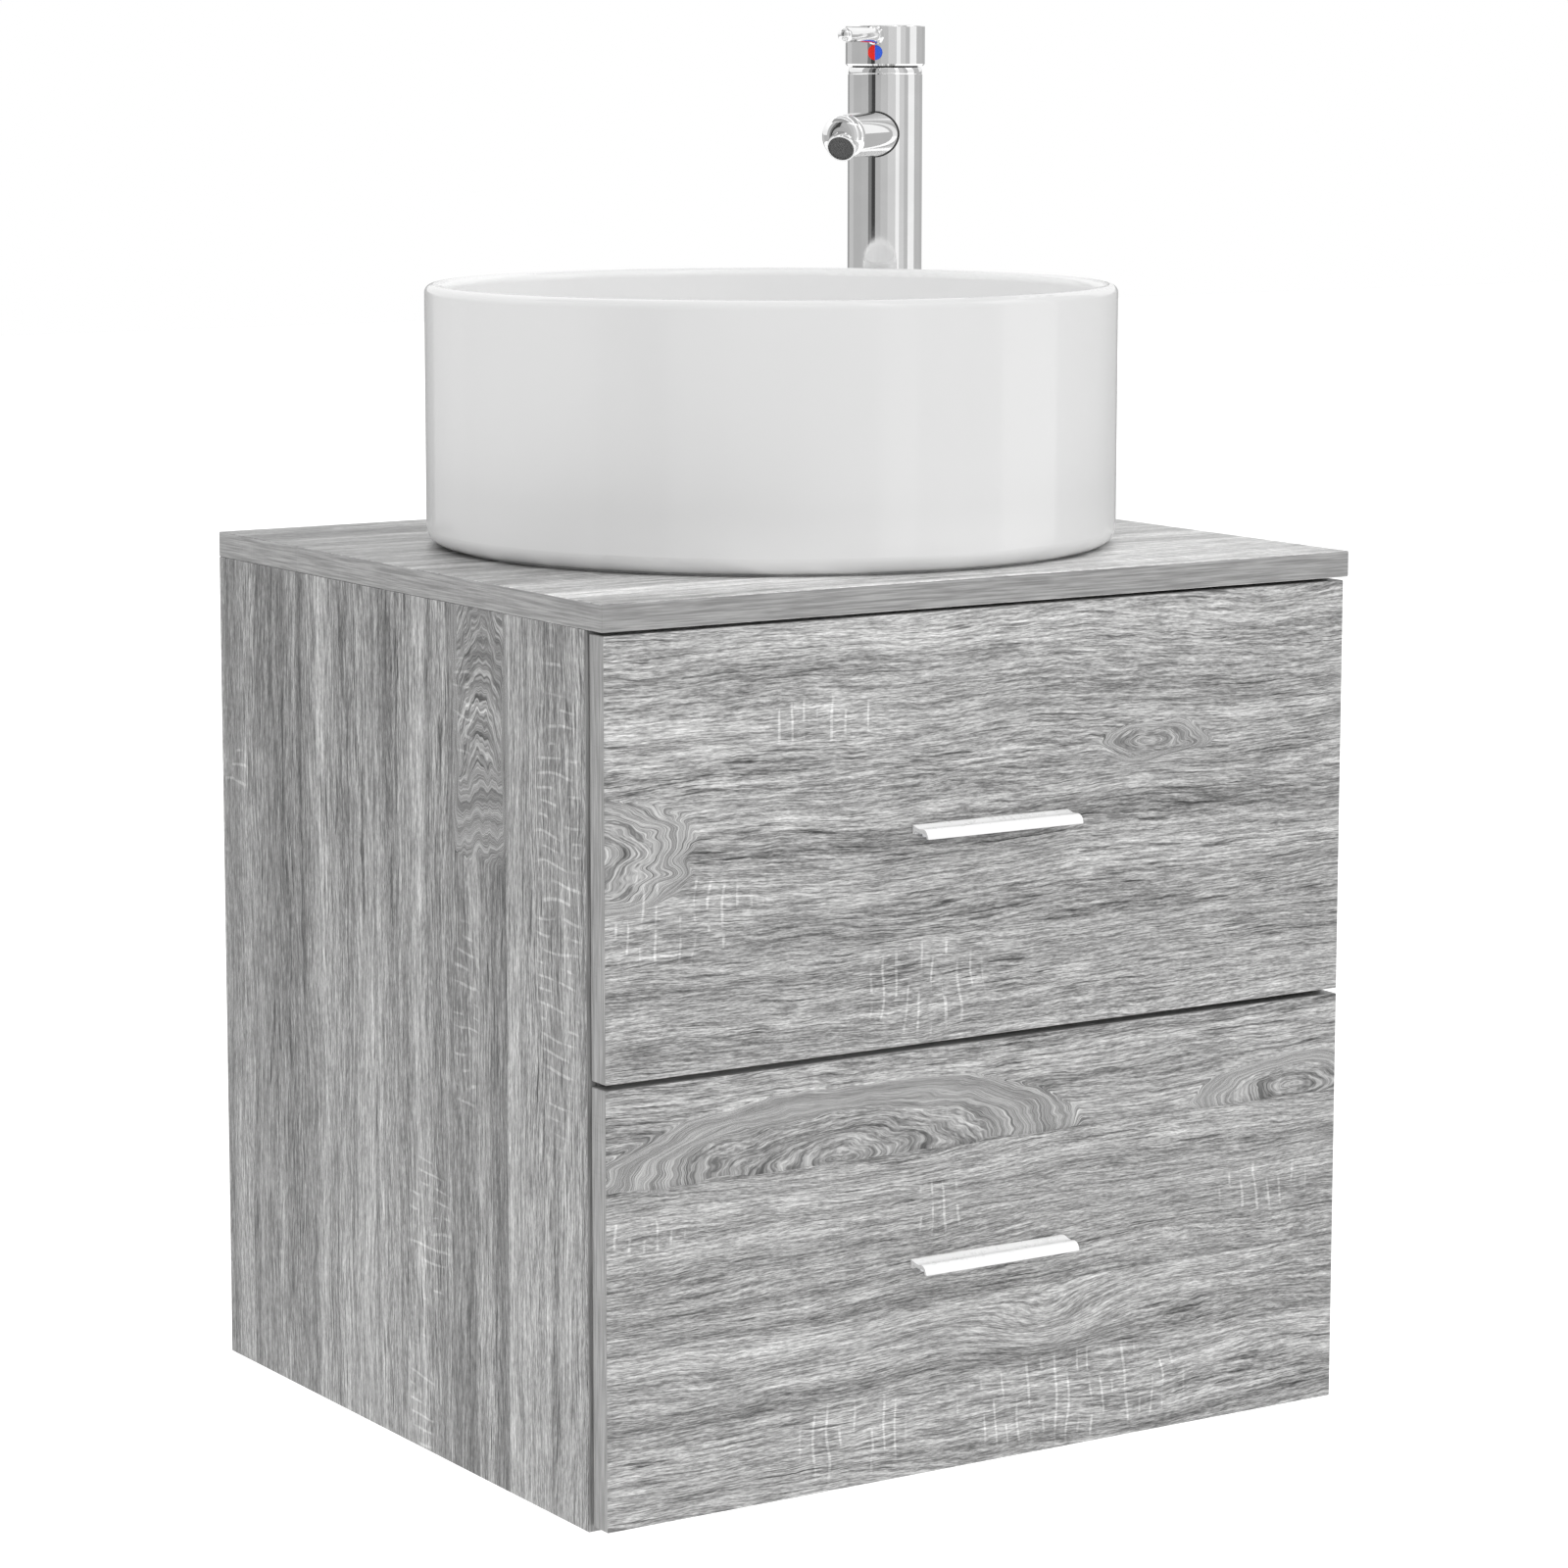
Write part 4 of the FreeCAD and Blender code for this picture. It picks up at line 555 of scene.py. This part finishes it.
# The pull's section: millimetres out from the drawer front and up from the pull's top.
PULL_PROFILE = [
    (0.0, 0.0), (0.9, 0.0), (1.8, -0.15), (3.2, -0.6), (5.0, -1.1), (7.0, -1.4), (8.6, -1.35),
    (9.8, -1.05), (10.7, -0.95), (11.8, -1.1), (12.9, -1.55), (13.8, -2.2), (14.6, -3.1), (15.1, -4.1),
    (15.45, -5.2), (15.6, -6.0), (15.4, -6.25), (15.0, -6.3), (14.4, -6.3), (14.1, -6.1), (13.8, -5.2),
    (13.2, -4.4), (12.3, -3.8), (11.2, -3.5), (8.0, -3.8), (5.5, -3.5), (3.6, -2.9), (2.6, -2.7),
    (2.25, -3.0), (2.2, -4.7), (1.9, -5.0), (0.0, -5.0)]


def pull(name, body, top, material):
    """A drawn pull with a shallow scoop behind its rounded lip; top is its highest level."""
    half, softened, end_size = 0.0523, 0.0004, 0.92
    sections = [(-half, end_size), (-half + softened, 1.0), (-0.03, 1.0), (0.0, 1.0), (0.03, 1.0),
                (half - softened, 1.0), (half, end_size)]
    middle_out, middle_up = 8.0, -2.9
    rings = []
    for x, size in sections:
        ring = []
        for out, up in PULL_PROFILE:
            out = middle_out + (out - middle_out) * (1 + size) / 2
            up = middle_up + (up - middle_up) * size
            ring.append((x, FRONT_FACE - max(out, 0.0) * MM, top + up * MM))
        rings.append(ring)
    points, faces = swept(rings)
    new_piece(name, body, points, faces, [material], name)


def standing(across, along_out, up):
    """A point of the mixer, in millimetres from its axis along and across its own heading."""
    out_x, out_y = math.cos(MIXER_HEADING), math.sin(MIXER_HEADING)
    return (MIXER_AXIS[X] + (along_out * out_x - across * out_y) * MM,
            MIXER_AXIS[Y] + (along_out * out_y + across * out_x) * MM, up * MM)


def over_waste(across, along_out, up):
    """A point given in millimetres from the waste's axis."""
    return BASIN_AXIS[X] + across * MM, BASIN_AXIS[Y] + along_out * MM, up * MM


def turned_piece(name, body, profile, materials, replaced, place=standing, slots_from=None, steps=72):
    """A piece turned about an upright axis; profile is a closed loop of (radius, height).

    From the profile's side slots_from onwards it has the second material.
    """
    count = len(profile)
    points, faces, slots = [], [], []
    for step in range(steps):
        angle = 2 * math.pi * step / steps
        points += [place(r * math.sin(angle), r * math.cos(angle), z) for r, z in profile]
    for row in range(steps):
        after = (row + 1) % steps
        for i in range(count):
            j = (i + 1) % count
            faces.append((row * count + i, after * count + i, after * count + j, row * count + j))
            slots.append(1 if slots_from is not None and i >= slots_from else 0)
    new_piece(name, body, points, faces, materials, replaced, slots)


# The dome ring shows bright below the cap; its part under the cap is painted near black, as painted shade.
painted_shade_and_bead = grained("dark_painted_shade_and_bead", 0.12, 0.02, 0.001, 0.6, pit=0.1)
turned_piece("dome_ring_fine", "cabinet", [
    (18.4, 345.0), (23.0, 345.0), (23.0, 345.25), (23.15, 345.5), (23.15, 346.6), (23.0, 347.9),
    (22.75, 349.0), (22.5, 349.5), (20.7, 349.6), (20.6, 350.2), (20.5, 354.6), (19.9, 355.2),
    (18.4, 355.2)], [chrome, painted_shade_and_bead], "mixer_dome_ring", slots_from=7)


def plug():
    """The waste's plug with an evenly domed top."""
    designed = nodes["waste_plug"]
    levels = [(designed.matrix_world @ Vector(corner)).z / MM for corner in designed.bound_box]
    bottom, top = min(levels), max(levels)
    sphere, under = 197.0, top - 5.6
    dome = [(r, top - sphere + math.sqrt(sphere ** 2 - r ** 2))
            for r in (28.0, 24.0, 20.0, 15.0, 10.0, 5.0, 0.0)]
    turned_piece("plug_fine", "drain_plug", [
        (0.0, bottom), (3.0, bottom), (3.0, under - 6.0), (9.0, under), (29.5, under), (30.2, under + 0.5),
        (30.5, under + 1.5), (30.2, under + 2.4), (29.4, under + 3.1)] + dome,
        [chrome], "waste_plug", over_waste)


def spout_with_seam():
    """The spout, with a thin dark bead round it where it leaves the column."""
    column, radius, level = 23.5, 13.75, 308.0
    bead, around, across_bead = 0.65, 72, 8
    mesh = nodes["mixer_spout"].data.copy()
    mesh.materials.clear()
    mesh.materials.append(chrome)
    mesh.materials.append(painted_shade_and_bead)
    work = bmesh.new()
    work.from_mesh(mesh)
    rings = []
    for step in range(around):
        angle = 2 * math.pi * step / around
        ring = []
        for part in range(across_bead):
            turn = 2 * math.pi * part / across_bead
            r = radius + bead * math.cos(turn)
            side, up = r * math.sin(angle), r * math.cos(angle)
            root = math.sqrt(column ** 2 - side ** 2) + bead * math.sin(turn)
            ring.append(work.verts.new(standing(side, root, level + up)))
        rings.append(ring)
    for ring, after in zip(rings, rings[1:] + rings[:1]):
        for part in range(across_bead):
            following = (part + 1) % across_bead
            face = work.faces.new((ring[part], ring[following], after[following], after[part]))
            face.material_index = 1
            face.smooth = True
    work.to_mesh(mesh)
    work.free()
    made = linked("spout_and_dark_bead", mesh)
    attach(made, "cabinet")
    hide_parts("mixer_spout")


plug()
spout_with_seam()

# The pulls' tone is painted light: 0.74 on faces that look down, as painted shade, up to 0.975 on faces that
# look up.
handle_paint_and_shade = satin_with_painted_shade("satin_white_painted_shade", 0.74, 0.975)
pull("upper_handle", "upper_drawer", -0.05875, handle_paint_and_shade)
pull("lower_handle", "lower_drawer", -0.3025, handle_paint_and_shade)

# ------------------------------------------------------------------ floor, world and light

def stage_mesh(name, points, faces, material):
    """A mesh that belongs to the stage and not to the object."""
    mesh = bpy.data.meshes.new(name)
    mesh.from_pydata(points, [], faces)
    mesh.materials.append(material)
    made = linked(name, mesh)
    return made


def level_sheet(name, left, right, reach, height, material):
    """A level rectangle from left to right that reaches as far forwards as backwards."""
    corners = [(left, -reach, height), (right, -reach, height), (right, reach, height),
               (left, reach, height)]
    return stage_mesh(name, corners, [(0, 1, 2, 3)], material)


level_sheet("floor", -15.0, 15.0, 15.0, FLOOR_Z, grained("pale_floor", 0.975, 0.004, 0.02, 0.8))


def glow(name, brightness):
    """The plain emission of a studio card."""
    material = bpy.data.materials.new(name)
    material.use_nodes = True
    tree = material.node_tree
    tree.nodes.clear()
    light = tree.nodes.new("ShaderNodeEmission")
    light.inputs["Color"].default_value = (brightness, brightness, brightness, 1.0)
    output = tree.nodes.new("ShaderNodeOutputMaterial")
    tree.links.new(light.outputs[0], output.inputs[0])
    return material


def only_reflected(made):
    """Leave a card to the reflections alone."""
    made.visible_camera = False
    made.visible_diffuse = False
    made.visible_shadow = False


def card(name, start, end, brightness, high, low=-0.7, distance=4.0):
    """An upright studio card, bent about the object: start and end are azimuths in degrees."""
    steps = max(1, int(abs(end - start) / 6))
    corners = []
    for step in range(steps + 1):
        angle = math.radians(start + (end - start) * step / steps)
        corners.append((distance * math.sin(angle), -distance * math.cos(angle)))
    points = [(x, y, z) for x, y in corners for z in (low, high)]
    faces = [(2 * i, 2 * i + 2, 2 * i + 3, 2 * i + 1) for i in range(steps)]
    only_reflected(stage_mesh(name, points, faces, glow(name, brightness)))


# Azimuths count from -Y towards +X; the camera stands at about -30.  The cards behind the object
# stay low, so that the top board mirrors the bright sky over them.
HIGH_CARD = 4.0
LOW_CARD = 0.48
for index, (start, end, brightness) in enumerate([
        (-180, -150, 0.60), (-150, -112, 0.50), (-112, -86, 0.52), (-86, -74, 0.22), (-74, -62, 0.06),
        (-62, -44, 0.50), (-44, -22, 0.58), (-22, 2, 0.70), (14, 30, 0.70), (30, 44, 0.55),
        (70, 100, 0.55), (100, 128, 0.50), (128, 180, 0.36)]):
    behind = abs(start + end) > 200
    card(f"card_{index}", start, end, brightness, LOW_CARD if behind else HIGH_CARD)

for index, (left, right, brightness) in enumerate([
        (-3.2, -0.9, 0.40), (-0.7, 0.5, 0.70), (0.9, 3.2, 0.50)]):
    only_reflected(level_sheet(f"overhead_{index}", left, right, 2.5, 3.6,
                               glow(f"overhead_{index}", brightness)))

# The sky brightens from the horizon to overhead.
world = bpy.data.worlds.new("studio")
world.use_nodes = True
sky = world.node_tree.nodes
upward = sky.new("ShaderNodeSeparateXYZ")
rise = sky.new("ShaderNodeMapRange")
for setting, value in (("From Min", 0.2), ("From Max", 1.0), ("To Min", 1.0), ("To Max", 1.6)):
    rise.inputs[setting].default_value = value
world.node_tree.links.new(sky.new("ShaderNodeTexCoord").outputs["Generated"], upward.inputs[0])
world.node_tree.links.new(upward.outputs["Z"], rise.inputs[0])
world.node_tree.links.new(rise.outputs[0], sky["Background"].inputs["Strength"])
sky["Background"].inputs["Color"].default_value = (1.0, 1.0, 1.0, 1.0)
scene.world = world

SUN_HEADING = Vector((-0.55, 0.62, -0.75))
sun = bpy.data.lights.new("key", "SUN")
sun.energy = 0.35
sun.angle = math.radians(50)
sun_holder = bpy.data.objects.new("key", sun)
sun_holder.rotation_euler = SUN_HEADING.to_track_quat("-Z", "Y").to_euler()
scene.collection.objects.link(sun_holder)
